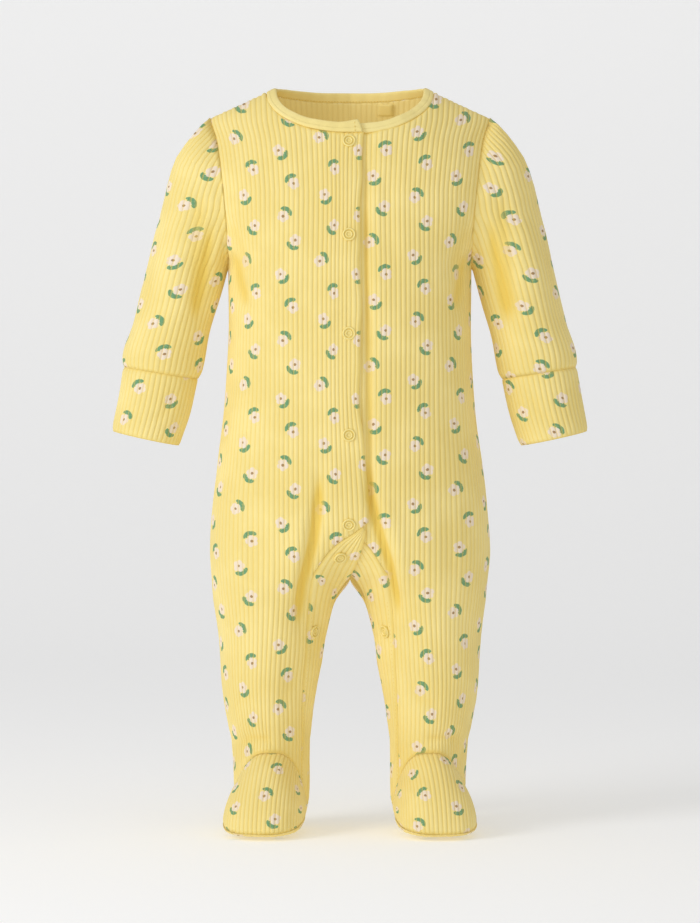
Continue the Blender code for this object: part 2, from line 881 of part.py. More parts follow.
def down_to_instep(ring, ring_normals):
    """Rows from the ankle ring to the seam over the foot."""
    rows, normals = [], []
    for k in range(1, INSTEP_ROWS + 1):
        share = k / INSTEP_ROWS
        rows.append([])
        normals.append([])
        for point, normal in zip(ring, ring_normals):
            if point is None:
                rows[-1].append(None)
                normals[-1].append(None)
                continue
            below = instep_seam(point)
            corner = smooth((sole_seam(0.0).z + 12 - below.z) / 12)
            clear = Vector((0, mix(SEAM / 2, -SEAM / 2, corner), SEAM / 2))
            rows[-1].append(hang(point, below + clear, share))
            normals[-1].append(normal.lerp(instep_normal(below), share))
    return rows, normals


def instep_normal(point):
    """Out of the cloth at the seam over the foot, shared by both pieces."""
    outward = Vector((point.x - FOOT_MIDDLE[0], point.y - FOOT_MIDDLE[1], 0)).normalized()
    outward.y *= smooth((point.z - sole_seam(0.0).z) / 8)
    ahead = max(-outward.y, 0.0)
    return (outward + Vector((0, 0, 0.8 * ahead))).normalized()


def back():
    arm_c = armhole_c(ARMHOLE_MID, "back")
    first = start_c(ARMPIT, "back")
    marks = [arm_c - SEAM / 2, side_c(ARMPIT, "back") - SEAM / 2]
    columns, stops = panel_columns(first, marks)
    _, arm, last = stops
    heights = trunk_rows(columns, arm, "back", lambda c: CROTCH, first)
    centre_rows = len(heights)
    for z in LEG_ROWS:
        heights.append([z] * len(columns))
    points, normals = panel_walls(columns, heights, "back", lambda c: 0.0, first)
    for row in range(centre_rows):
        points[row][0].x = 0
        for point in points[row][1:]:
            if point:
                point.x = max(point.x, CENTRE_CLEAR)
        normals[row][0].x = 0
    normals[centre_rows - 1][0] = Vector((0, 0, -1))
    for row in range(centre_rows, len(points)):
        points[row][0].y += SEAM / 2
    neck_normals(points, normals)
    armhole_normals(points, normals, arm)
    ring, ring_normals = points[-1], normals[-1]
    for k in range(1, HEEL_ROWS + 1):
        share = k / HEEL_ROWS
        points.append([heel_point(p, j / last, share) for j, p in enumerate(ring)])
        normals.append([heel_normal(p, n, j / last, share) for j, (p, n) in enumerate(zip(ring, ring_normals))])

    def cells(row, column):
        return row >= SHOULDER_ROWS or column < arm

    stops += neck_stops(points[0]) + [2]
    put_wall("back", points, normals, 1, -1, cells=cells, mirror_rows=centre_rows, stops=stops)


def heel_end(around):
    """The sole seam behind, and the direction in which the heel bulges there."""
    end = sole_seam(math.pi * (1 + around), SEAM / 2)
    end.y += SEAM / 2
    ankle = Vector((*FOOT_MIDDLE, end.z))
    return end, (end - ankle).normalized()


def heel_point(ring_point, around, share):
    """Down from the ankle ring, out over the heel and in to the sole seam."""
    end, out = heel_end(around)
    return hang(ring_point, end, share, out * HEEL_BULGE * math.sin(math.pi * around))


def heel_normal(ring_point, ring_normal, around, share):
    _, out = heel_end(around)
    if around in (0, 1):
        out = Vector((out.x, 0, 0))
    return ring_normal.lerp(out, share)


# Bands along the inner legs


def inseam_c(z):
    return start_c(z, "front")


def band_level(c, z, over):
    """A band stands where its front does at the lap, and returns to the leg's surface below."""
    return lap_level(c, over) * smooth((z + 374) / 16)


def band_rows(corners, level_at, columns):
    """(points, normals) in rows across a band. A corner pair is (seam c, seam z, edge c, edge z)."""
    rows, normals = [], []
    for seam_c, seam_z, edge_c, edge_z in corners:
        row, row_normals = [], []
        for column in range(columns + 1):
            c = mix(seam_c, edge_c, column / columns)
            z = mix(seam_z, edge_z, column / columns)
            normal = surface_normal(c, z, "front")
            row.append(body_point(c, z, "front") + normal * level_at(c, z))
            row_normals.append(normal)
        rows.append(row)
        normals.append(row_normals)
    return rows, normals


def leg_band(name, side, over):
    corners = []
    for seam_c, edge_z in BAND_START:
        seam_z = band_top(seam_c) - BAND_GAP * mix(1, 1.7, smooth((seam_c - 8) / 10))
        edge_c = inseam_c(edge_z) - past_centre(edge_z) + SEAM / 2
        corners.append((seam_c, seam_z, edge_c, edge_z))
    for z in LEG_ROWS:
        corners.append((BAND_SEAM - SEAM, z, inseam_c(z) - past_centre(z) + SEAM / 2, z))
    points, normals = band_rows(corners, lambda c, z: band_level(c, z, over), 2 * BAND_RIBS)
    lower, lower_normals = down_to_instep(points[-1], normals[-1])
    put_wall(name, points + lower, normals + lower_normals, side, -side, BAND_COLOUR)


def leg_band_back():
    """The under-band, from one ankle up through the crotch to the other."""
    corners = []
    for seam_c, seam_z, edge_z in UNDER_BAND_START:
        corners.append((inseam_c(seam_z) + seam_c, seam_z, inseam_c(edge_z) + SEAM / 2, edge_z))
    for z in UNDER_BAND_LEG_ROWS:
        corners.append((inseam_c(z) + UNDER_BAND_WIDE, z, inseam_c(z) + SEAM / 2, z))

    def level(c, z):
        return mix(-3.2, -5.2, smooth((z + 390) / 30))

    stations, across = band_rows(corners, level, UNDER_BAND_STEPS)
    stations.insert(0, [Vector((0, y, z)) for y, z in UNDER_BAND_CENTRE])
    across.insert(0, [None] * len(UNDER_BAND_CENTRE))
    points = [list(row) for row in zip(*stations)]
    normals = [list(row) for row in zip(*across)]
    every = range(len(stations))
    put_wall(
        "leg_band_back",
        points,
        normals,
        1,
        1,
        BAND_COLOUR,
        mirror_rows=len(points),
        stops=every,
        ribbed=False,
    )


# Sleeves and cuffs


def surface_depth(x, z, face):
    return abs(trunk_depth(x, z, face)) * shoulder_rounding(x, z)


def cap_section(z, face):
    """A level section of a sleeve above the armpit, from its outer line to the armhole."""
    gap = mix(ARMHOLE_GAP, 1.15, smooth((ARMHOLE_MID - z) / 25))
    start = armhole_x(z) + gap
    start_depth = surface_depth(armhole_x(z), z, face) if z > ARMPIT else 0.0
    outer = max(cap["outer"](z), start + 1.0)
    depth = max(cap["depth"](z), start_depth * 1.03)
    reach = math.sqrt(1 - (start_depth / depth) ** 2)
    middle = (start + reach * outer) / (1 + reach)
    end = math.acos(-reach)
    points = []
    for step in range(SECTION_STEPS + 1):
        angle = end * step / SECTION_STEPS
        points.append((middle + (outer - middle) * math.cos(angle), depth * math.sin(angle)))
    return points, arc_table(points)


def ring_point(rings, level, around):
    """A point of an arm ring. around is -1 and 1 at the inner line, and 0 at the outer one."""
    inner = Vector((rings["inner_x"](level), 0, rings["inner_z"](level)))
    outer = Vector((rings["outer_x"](level), 0, rings["outer_z"](level)))
    depth = rings["depth"](level)
    middle = (inner + outer) / 2
    half = (outer - inner) / 2
    flat = [
        (half.length * math.cos(math.pi * k / SECTION_STEPS), depth * math.sin(math.pi * k / SECTION_STEPS))
        for k in range(SECTION_STEPS + 1)
    ]
    lengths = arc_table(flat)
    along, out = point_along(flat, lengths, abs(around) * lengths[-1])
    facing = -1 if around < 0 else 1
    point = middle + half.normalized() * along
    point.y = facing * out - rings["forward"](level)
    return point


def cap_level_z(level):
    return mix(ARMPIT - 1, CAP_TOP, -level)


def cap_point(level, around):
    face = "front" if around < 0 else "back"
    z = cap_level_z(level)
    points, lengths = cap_section(z, face)
    _, whole = cap_section(ARMPIT - 1, face)
    x, depth = point_along(points, lengths, min(abs(around) * whole[-1], lengths[-1]))
    return Vector((x, -depth if around < 0 else depth, z))


def cap_top_level(around):
    """The level at which the armhole cuts the sleeve on this line along the arm."""
    face = "front" if around < 0 else "back"
    _, whole = cap_section(ARMPIT - 1, face)
    high, low = -1.0, 0.0
    for _ in range(20):
        level = (high + low) / 2
        _, lengths = cap_section(cap_level_z(level), face)
        if lengths[-1] < abs(around) * whole[-1]:
            high = level
        else:
            low = level
    return (high + low) / 2


def arm_point(level, around):
    return cap_point(level, around) if level < 0 else ring_point(arm_rings, level, around)


def sleeve(name, side):
    count = 2 * SLEEVE_RIBS
    around = [-1 + 2 * k / count for k in range(count)]
    tops = [cap_top_level(a) for a in around]
    points, normals = [], []
    for k in range(CAP_ROWS):
        share = (k / CAP_ROWS) ** 1.5
        points.append([arm_point(mix(top, SLEEVE_LEVELS[0], share), a) for top, a in zip(tops, around)])
        normals.append([None] * count)
    for level in SLEEVE_LEVELS:
        points.append([arm_point(level, a) for a in around])
        normals.append([None] * count)
    edges = {"front": armhole_edge("front"), "back": armhole_edge("back")}
    for column, point in enumerate(points[0]):
        if point.z > ARMHOLE_LOW:
            normals[0][column] = armhole_normal(point)
        if point.z > ARMHOLE_MID:
            beside = on_edge(edges["front" if around[column] < 0 else "back"], point.z)
            forward = math.copysign(max(abs(beside.y), CAP_SPREAD * abs(around[column])), beside.y)
            points[0][column] = Vector((beside.x + ARMHOLE_GAP, forward, point.z))
    bends = [j for j in range(0, count, 2) if SLEEVE_BEND[0] < points[0][j].z < SLEEVE_BEND[1]]
    put_wall(name, points, normals, side, side, wrap=True, stops=bends)


def cuff(name, side):
    count = 2 * CUFF_RIBS
    around = [-1 + 2 * k / count for k in range(count)]
    points = [[ring_point(cuff_rings, level, a) for a in around] for level in CUFF_LEVELS]
    wall_object(name, for_side(points, side), side, CUFF_COLOUR, wrap=True)


# Feet


def along_curve(place, start, end, steps=60):
    """A function of 0 to 1 that walks a curve at an even pace."""
    points = [tuple(place(mix(start, end, k / steps))) for k in range(steps + 1)]
    lengths = arc_table(points)
    return lambda share: Vector(point_along(points, lengths, share * lengths[-1]))


def instep_curve(share):
    """The seam over the foot, from its inner to its outer end."""
    inner_c, outer_c = inseam_c(ANKLE_RING), side_c(ANKLE_RING)
    return instep_seam(body_point(mix(inner_c, outer_c, share), ANKLE_RING, "front"))


def foot_top(name, side):
    above = along_curve(instep_curve, 0.0, 1.0)
    below = along_curve(lambda turn: sole_seam(turn), math.pi, 0.0)
    columns = 2 * FOOT_TOP_RIBS
    points, normals = [], []
    for k in range(FOOT_TOP_ROWS + 1):
        share = k / FOOT_TOP_ROWS
        row = []
        for j in range(columns + 1):
            across = mix(FOOT_TOP_EDGE, 1 - FOOT_TOP_EDGE, j / columns)
            start = above(across) - Vector((0, SEAM / 2, SEAM / 2))
            end = below(across) + Vector((0, 0, SEAM / 2))
            pull = end.lerp(start, 0.12)
            pull.z = mix(start.z, end.z, 0.32)
            row.append(start.lerp(pull, share).lerp(pull.lerp(end, share), share))
        points.append(row)
        normals.append([None] * len(row))
    normals[0] = [instep_normal(point) for point in points[0]]
    edge = points[-1]
    for j in range(columns + 1):
        along = edge[min(j + 1, columns)] - edge[max(j - 1, 0)]
        normals[-1][j] = Vector((along.y, -along.x, 0))
    put_wall(name, points, normals, side, side)


def sole(name, side):
    """A shallow dish, turned up to the seam all round."""
    columns = 2 * SOLE_RIBS
    points = []
    for share in SOLE_SHARES:
        row = []
        for j in range(columns + 1):
            across = mix(-SOLE_EDGE_COLUMN, SOLE_EDGE_COLUMN, j / columns)
            toe, sideways = sole_outline_at(across, 1)
            heel, _ = sole_outline_at(across, -1)
            forward = mix(toe, heel, share)
            edge = max(abs(across) / SOLE_EDGE_COLUMN, abs(2 * share - 1)) ** 6
            half = ANKLE_HALF + TOE_WIDENING * max(forward, 0) / TOE_REACH
            lift = SOLE_EDGE * edge - SEAM / 2 - WALL
            row.append(foot_place(forward, across * half, sole_z(forward) + lift))
        points.append(row)
    down = [[Vector((0, 0, -1))] * len(row) for row in points]
    put_wall(name, points, down, side, side)


def sole_outline_at(across, half):
    """(forward, sideways) of the sole seam where it lies this share of its width from the middle."""
    low, high = 0.0, math.pi / 2
    for _ in range(30):
        turn = (low + high) / 2
        forward, sideways = sole_outline(half * turn)
        if sideways / (ANKLE_HALF + TOE_WIDENING * max(forward, 0) / TOE_REACH) > abs(across):
            low = turn
        else:
            high = turn
    return forward, math.copysign(sideways, across)


# Neck binding, hanger loop and snaps


def neck_point(angle):
    """The neck seam. 0 is the centre front and a quarter turn is the wearer's left."""
    x = NECK_HALF * math.sin(angle)
    face = "front" if math.cos(angle) > 0 else "back"
    if face == "front":
        z = mix(-NECK_FRONT_DROP, -NECK_SIDE_DROP, 1 - math.cos(angle))
    else:
        z = mix(-NECK_BACK_DROP, -NECK_SIDE_DROP, abs(math.sin(angle)) ** 2.5)
    depth = surface_depth(x, z, face)
    return Vector((x, -depth if face == "front" else depth, z))


def binding_level(turn):
    """The binding's start lies over its end at the front lap."""
    over = 1.35 * smooth((turn - math.radians(-40)) / math.radians(22))
    under = -1.75 * smooth((math.radians(-318) - turn) / math.radians(24))
    return over + under


def neck_frame(turn):
    """(point, up, outwards) of the neck seam. The binding stands upright in front and leans in at the sides."""
    tangent = (neck_point(turn - 0.02) - neck_point(turn + 0.02)).normalized()
    inwards = Vector((-math.sin(turn), math.cos(turn), 0))
    lean = mix(mix(0.15, 0.28, (1 + math.cos(turn)) / 2), 0.93, abs(math.sin(turn)) ** 1.5)
    up = inwards * lean + Vector((0, 0, math.sqrt(1 - lean * lean)))
    outwards = tangent.cross(up).normalized()
    if outwards.dot(inwards) > 0:
        outwards = -outwards
    up = (up - tangent * up.dot(tangent)).normalized()
    return neck_point(turn), up, outwards


def neck_binding():
    vertices, faces = [], []
    sides = len(BINDING_PROFILE)
    for k in range(BINDING_STATIONS + 1):
        turn = mix(BINDING_START, BINDING_END, k / BINDING_STATIONS)
        base, up, outwards = neck_frame(turn)
        for rise, thick in BINDING_PROFILE:
            place = base + up * (rise * BINDING_WIDE) + outwards * (thick + binding_level(turn))
            vertices.append(place * MM)
    for k in range(BINDING_STATIONS):
        for s in range(sides):
            a, b = k * sides + s, k * sides + (s + 1) % sides
            faces.append((a, b, b + sides, a + sides))
    faces.append(tuple(reversed(range(sides))))
    faces.append(tuple(BINDING_STATIONS * sides + s for s in range(sides)))
    mesh_object("neck_binding", vertices, faces, BINDING_COLOUR)


def hanger_loop():
    columns = [mix(LOOP_FROM, LOOP_TO, k / 2) for k in range(3)]
    rows = [[panel_point(c, z, "back", LOOP_LEVEL) for c in columns] for z in LOOP_HEIGHTS]
    wall_object("hanger_loop", rows, -1, BINDING_COLOUR, ribbed=False)


def c_at(x, z):
    """c of the front at this x, on the body or on the inner side of a leg."""
    low, high = start_c(z) - 20, LEG_MIDDLE
    for _ in range(30):
        c = (low + high) / 2
        if body_point(c, z, "front").x < x:
            low = c
        else:
            high = c
    return c


def snap(name, side, x, z, level):
    c = c_at(x, z)
    centre = body_point(c, z, "front")
    out = surface_normal(c, z, "front")
    place = centre + out * (level + RIB_RISE / 2 + SEAM)
    facing = Vector((out.x * side, out.y, out.z))
    turn = facing.to_track_quat("Z", "Y")
    base = Vector((place.x * side, place.y, place.z))
    vertices = []
    for radius, height in SNAP_PROFILE:
        for k in range(SNAP_SIDES):
            angle = 2 * math.pi * k / SNAP_SIDES
            local = Vector((radius * math.cos(angle), radius * math.sin(angle), height))
            vertices.append((base + turn @ local) * MM)
    faces = [tuple(reversed(range(SNAP_SIDES)))]
    for ring in range(len(SNAP_PROFILE) - 1):
        for k in range(SNAP_SIDES):
            a, b = ring * SNAP_SIDES + k, ring * SNAP_SIDES + (k + 1) % SNAP_SIDES
            faces.append((a, b, b + SNAP_SIDES, a + SNAP_SIDES))
    faces.append(tuple(range(len(vertices) - SNAP_SIDES, len(vertices))))
    mesh_object(name, vertices, faces, SNAP_COLOUR)


def build_snaps():
    for number, (side, x, z, level) in enumerate(SNAPS["rows"], 1):
        snap(f"snap_{number}", side, x, z, level)


def build_all():
    front("front_left", 1, False)
    front("front_right", -1, True)
    back()
    for name, side, over in (("left", 1, False), ("right", -1, True)):
        leg_band(f"leg_band_{name}", side, over)
        sleeve(f"sleeve_{name}", side)
        cuff(f"cuff_{name}", side)
        foot_top(f"foot_top_{name}", side)
        sole(f"sole_{name}", side)
    leg_band_back()
    neck_binding()
    hanger_loop()
    build_snaps()


def clear_scene():
    for leftover in list(bpy.data.objects):
        bpy.data.objects.remove(leftover)
    bpy.context.scene.collection.children.link(garment)


garment = bpy.data.collections.new("footed_baby_sleepsuit")
clear_scene()
build_all()
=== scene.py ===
"""Footed baby sleepsuit in butter-yellow rib knit: its cloth, snaps and stitches, light and camera.

The shape functions work in millimetres. c is a distance along the cloth from the centre front or
centre back, and level counts down an arm. Every cloth piece is one thin shell with raised ribs.
"""

import math
from functools import partial, reduce

import bmesh
import bpy
import numpy as np
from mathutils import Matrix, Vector


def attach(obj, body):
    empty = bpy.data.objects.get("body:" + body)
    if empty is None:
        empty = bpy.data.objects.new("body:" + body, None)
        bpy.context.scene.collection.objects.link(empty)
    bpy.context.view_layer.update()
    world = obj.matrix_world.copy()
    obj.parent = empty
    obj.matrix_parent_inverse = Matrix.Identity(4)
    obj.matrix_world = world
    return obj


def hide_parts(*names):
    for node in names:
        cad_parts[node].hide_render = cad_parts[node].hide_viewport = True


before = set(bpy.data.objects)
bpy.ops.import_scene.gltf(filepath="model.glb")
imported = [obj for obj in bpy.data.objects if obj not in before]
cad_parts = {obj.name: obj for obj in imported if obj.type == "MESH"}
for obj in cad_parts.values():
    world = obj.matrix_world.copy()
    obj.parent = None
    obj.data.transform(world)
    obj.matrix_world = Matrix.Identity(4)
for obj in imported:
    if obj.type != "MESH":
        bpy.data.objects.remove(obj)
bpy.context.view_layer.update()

MM = 0.001
SEAM = 0.1
ARMHOLE_OVERLAP = 0.9
BAND_GAP = 0.3
BINDING_WIDE = 7.4
ARMHOLE_MID = -76.0
ARMPIT = -130.0
TRUNK_END = -300.0
CROTCH = -362.0
WAIST_ROW = -280.0
ANKLE_RING = -480.0
NECK_HALF = 61.4
NECK_FRONT_DROP = 33.5
NECK_BACK_DROP = 8.0
NECK_SIDE_DROP = 2.2
SHOULDER_START = 57.5
SHOULDER_SLOPE = 0.454
SHOULDER_ROUND = 58.0
LAP = 12.0
LAP_RISE = 1.0
LAP_SINK = -1.9
OVER_LAP_END = 30.0
OVER_LAP_FADE = 22.0
UNDER_LAP_END = 24.5
UNDER_LAP_FADE = 10.5
BAND_LAP_END = -374.0
LEG_MIDDLE = 57.0
BAND_SEAM = 28.0
FOOT_MIDDLE = (58.5, 2.0)
FOOT_SPLAY = math.radians(7.0)
TOE_REACH = 75.0
TOE_POWER = 2 / 3
HEEL_REACH = 29.0
HEEL_POWER = 2 / 2.3
ANKLE_HALF = 27.5
TOE_WIDENING = 7.0
SOLE_AT_ANKLE = -533.9
SOLE_SLOPE = 0.167
SOLE_EDGE = 4.0
INSTEP_TOP = -487.0
INSTEP_POWER = 3.1
TRUNK_POWER = {"front": 2.5, "back": 2.4}
INNER_POWER = {"front": 1.7, "back": 2.2}
OUTER_POWER = 2.1
GROOVE_HALF = 7.0
SECTION_STEPS = 24
HEEL_BULGE = 5.0
CAP_TOP = -21.5
CAP_SPREAD = 32.0
BINDING_START = math.radians(8.6)
BINDING_END = math.radians(-370.0)
BINDING_RISE = 1.35
BINDING_SINK = -1.75

# How the cloth is drawn
CLOTH = 1.15              # thickness behind the mean of the ribs
RIB_RISE = 0.75
RIB_MEAN = 0.6
RIB_PITCH = 3.6
RIB_PHASES = (0.0, 0.09, 0.22, 0.5, 0.78, 0.91)
SEAM_SINK = 0.4
PUCKER = 0.16             # small waves along the seams
PUCKER_PITCH = 5.3
PUCKER_REACH = 3.2
JOINED_TOP = -150.0       # between these heights folds run on over seams
JOINED_END = -476.0
SLEEVE_RIBS = 43
SLEEVE_HALF_GIRTH = 77.0
CUFF_RIBS = 42
CUFF_HALF_GIRTH = 76.0
VAMP_RIBS = 42
SOLE_RIBS = 17
BAND_RIBS = 6
UNDER_BAND_RIBS = 5
COLUMN_STEP = 2.4         # between the places where a panel's form is worked out
SHOULDER_ROWS = 16        # rows of a panel above ARMHOLE_MID
CHEST_ROWS = 44           # from there down to WAIST_ROW
HIP_ROWS = 18             # from there down to the crotch or the leg band
INSTEP_ROWS = 9
HEEL_ROWS = 12
SLEEVE_EVEN = 1.3         # from this level on a sleeve's rows are level
SLEEVE_END = 3.2
SLEEVE_LIFT = 1.5         # of the cap over the armhole's edge
DRAWN_ROWS = 7
CUFF_TUCK = 1.6
CUFF_LIFT = -0.5
MERGE = 0.00003           # metres
ARM_STEPS = 84            # steps round a sleeve or cuff
ARM_AROUND = [-1 + 2 * k / ARM_STEPS for k in range(ARM_STEPS + 1)]
EDGE_REACH = 24.0         # how far from the centre the over-lap is drawn in
EDGE_DRAWN_IN = 5.6
BINDING_STATIONS = 260
BINDING_STEP = 1.35       # cloth from one station to the next
BINDING_SIDE = 0.9        # cloth from one side of the section to the next
BINDING_SLANT = 12        # stations over which the binding's start is slanted
SNAP_SIDES = 40
NECK_STITCH = (2.3, 1.7, 0.5)      # pitch, length and thickness
BAND_STITCH = (3.0, 1.5, 0.34)
FOOT_OF_LAP = -330.0      # snaps below this sit on a leg band

TRUNK = {
    "columns": ("z", "side", "front", "back"),
    "rows": (
        (30, 105.0, 30, 34),
        (0, 105.0, 36, 41),
        (-33, 105.0, 44, 49),
        (-60, 105.0, 53, 55),
        (-76, 105.0, 57, 57),
        (-95, 100.5, 60, 59),
        (-114, 94.0, 62.5, 60),
        (-130, 89.4, 64, 60),
        (-156, 89.0, 65, 58),
        (-200, 90.2, 67, 56),
        (-245, 93.6, 69.5, 58),
        (-275, 97.3, 70, 64),
        (-304, 101.0, 70, 71),
        (-341, 103.5, 68, 74),
        (-371, 101.0, 66, 72),
        (-400, 99.0, 64, 70),
    ),
}

LEG = {
    "columns": ("z", "middle", "inner", "outer", "front", "back", "fold"),
    "rows": (
        (-290, 55.0, 0.0, 99.5, 60.0, 66.0, 8),
        (-340, 55.0, 0.0, 103.5, 57.0, 66.0, 8),
        (-362, 55.3, 0.6, 101.8, 54.0, 62.0, 8),
        (-371, 55.4, 6.3, 101.0, 52.0, 60.0, 8),
        (-378, 55.6, 11.0, 100.3, 50.5, 57.0, 8),
        (-393, 56.5, 15.5, 98.0, 48.0, 53.0, 8),
        (-408, 57.5, 18.7, 96.5, 45.5, 49.0, 8),
        (-423, 58.3, 20.5, 95.8, 43.5, 46.0, 7),
        (-437, 59.0, 23.3, 95.0, 41.5, 43.0, 7),
        (-452, 59.2, 26.0, 93.2, 38.5, 40.0, 6),
        (-467, 59.2, 27.8, 90.8, 35.5, 37.0, 5),
        (-480, 58.6, 29.4, 87.6, 33.0, 34.0, 4),
        (-500, 58.0, 31.0, 85.0, 31.0, 33.0, 3),
    ),
}

ARMHOLE = {
    "columns": ("z", "x"),
    "rows": (
        (0, 106.0),
        (-22, 104.0),
        (-38, 99.0),
        (-56, 96.0),
        (-76, 93.6),
        (-95, 91.8),
        (-114, 90.6),
        (-130, 89.4),
    ),
}

SLEEVE_CAP = {
    "columns": ("z", "outer", "depth"),
    "rows": (
        (-19, 104.0, 1.5),
        (-23, 109.0, 5.5),
        (-30, 114.8, 13.0),
        (-38, 121.0, 19.0),
        (-52, 130.0, 26.5),
        (-60, 133.0, 29.5),
        (-75, 136.5, 32.5),
        (-90, 139.5, 33.5),
        (-104, 143.5, 33.5),
        (-123, 148.0, 33.0),
        (-131, 149.8, 33.0),
    ),
}

ARM_RINGS = {
    "columns": ("level", "inner_x", "inner_z", "outer_x", "outer_z", "depth", "forward"),
    "rows": (
        (0.0, 90.1, -131.0, 149.8, -131.0, 33.0, 0.0),
        (1.0, 97.6, -158.0, 154.8, -152.0, 32.0, 0.5),
        (2.0, 104.2, -182.0, 160.0, -172.5, 30.0, 2.0),
        (3.0, 108.6, -207.0, 167.6, -199.0, 27.5, 4.0),
        (3.2, 111.6, -213.5, 167.2, -204.5, 26.0, 4.5),
    ),
}

CUFF_RINGS = {
    "columns": ("level", "inner_x", "inner_z", "outer_x", "outer_z", "depth", "forward"),
    "rows": (
        (0.0, 111.9, -214.3, 167.5, -205.3, 26.0, 4.6),
        (1.0, 117.6, -238.0, 170.9, -228.0, 25.3, 6.0),
        (2.0, 125.8, -262.5, 175.4, -251.6, 25.0, 8.0),
    ),
}

BAND_TOP = {
    "columns": ("c", "z"),
    "rows": ((-12, -316), (0, -325), (10, -331.5), (15, -336), (21, -344), (28, -357)),
}

BAND_EDGE = {
    "columns": ("z", "past_centre"),
    "rows": (
        (-316, 12.0),
        (-329, 10.4),
        (-345, 6.0),
        (-354, 2.2),
        (-359.5, -0.5),
        (-362, -4.0),
        (-366, -11.0),
        (-378, -3.0),
        (-392, 0.0),
        (-500, 0.0),
    ),
}

# The rows of a band where it crosses the lap: c at its seam, and the height of its edge.
BAND_START = (
    (-8, -322), (-2, -326), (4, -331), (9.5, -337), (15, -343),
    (19, -348.5), (23, -354), (25.5, -359.5), (27.8, -366),
)

LEG_STATIONS = (-378.0, -389.0, -400.0, -418.0, -436.0, -458.0, -480.0)
BELOW_CROTCH = (-363.5, -365.5, -368.0)

# The under-band: (y, z) of its points and directions at the centre, then (c, seam z, edge z).
UNDER_BAND_CENTRE = ((-45, -342.4), (-38.8, -349.3), (-28.5, -355.2), (-8.4, -357.6))
UNDER_BAND_FACING = ((-0.75, -0.66), (-0.6, -0.8), (-0.3, -0.95), (0, -1))
UNDER_BAND_START = ((10.0, -354, -366.0), (17.0, -366, -373.0))
UNDER_BAND_STATIONS = (-388, -400, -414, -428, -444, -460, ANKLE_RING)
UNDER_BAND_WIDE = 17.0

SNAPS = {
    "columns": ("side", "x", "z", "over"),
    "rows": (
        (-1, 0.7, -40.0, 1),
        (-1, 0.7, -108.0, 1),
        (-1, 0.7, -179.5, 1),
        (-1, 0.7, -253.0, 1),
        (-1, 0.7, -317.5, 1),
        (-1, 7.4, -342.0, 1),
        (-1, 26.0, -398.5, 0),
        (1, 25.5, -398.5, 0),
    ),
}

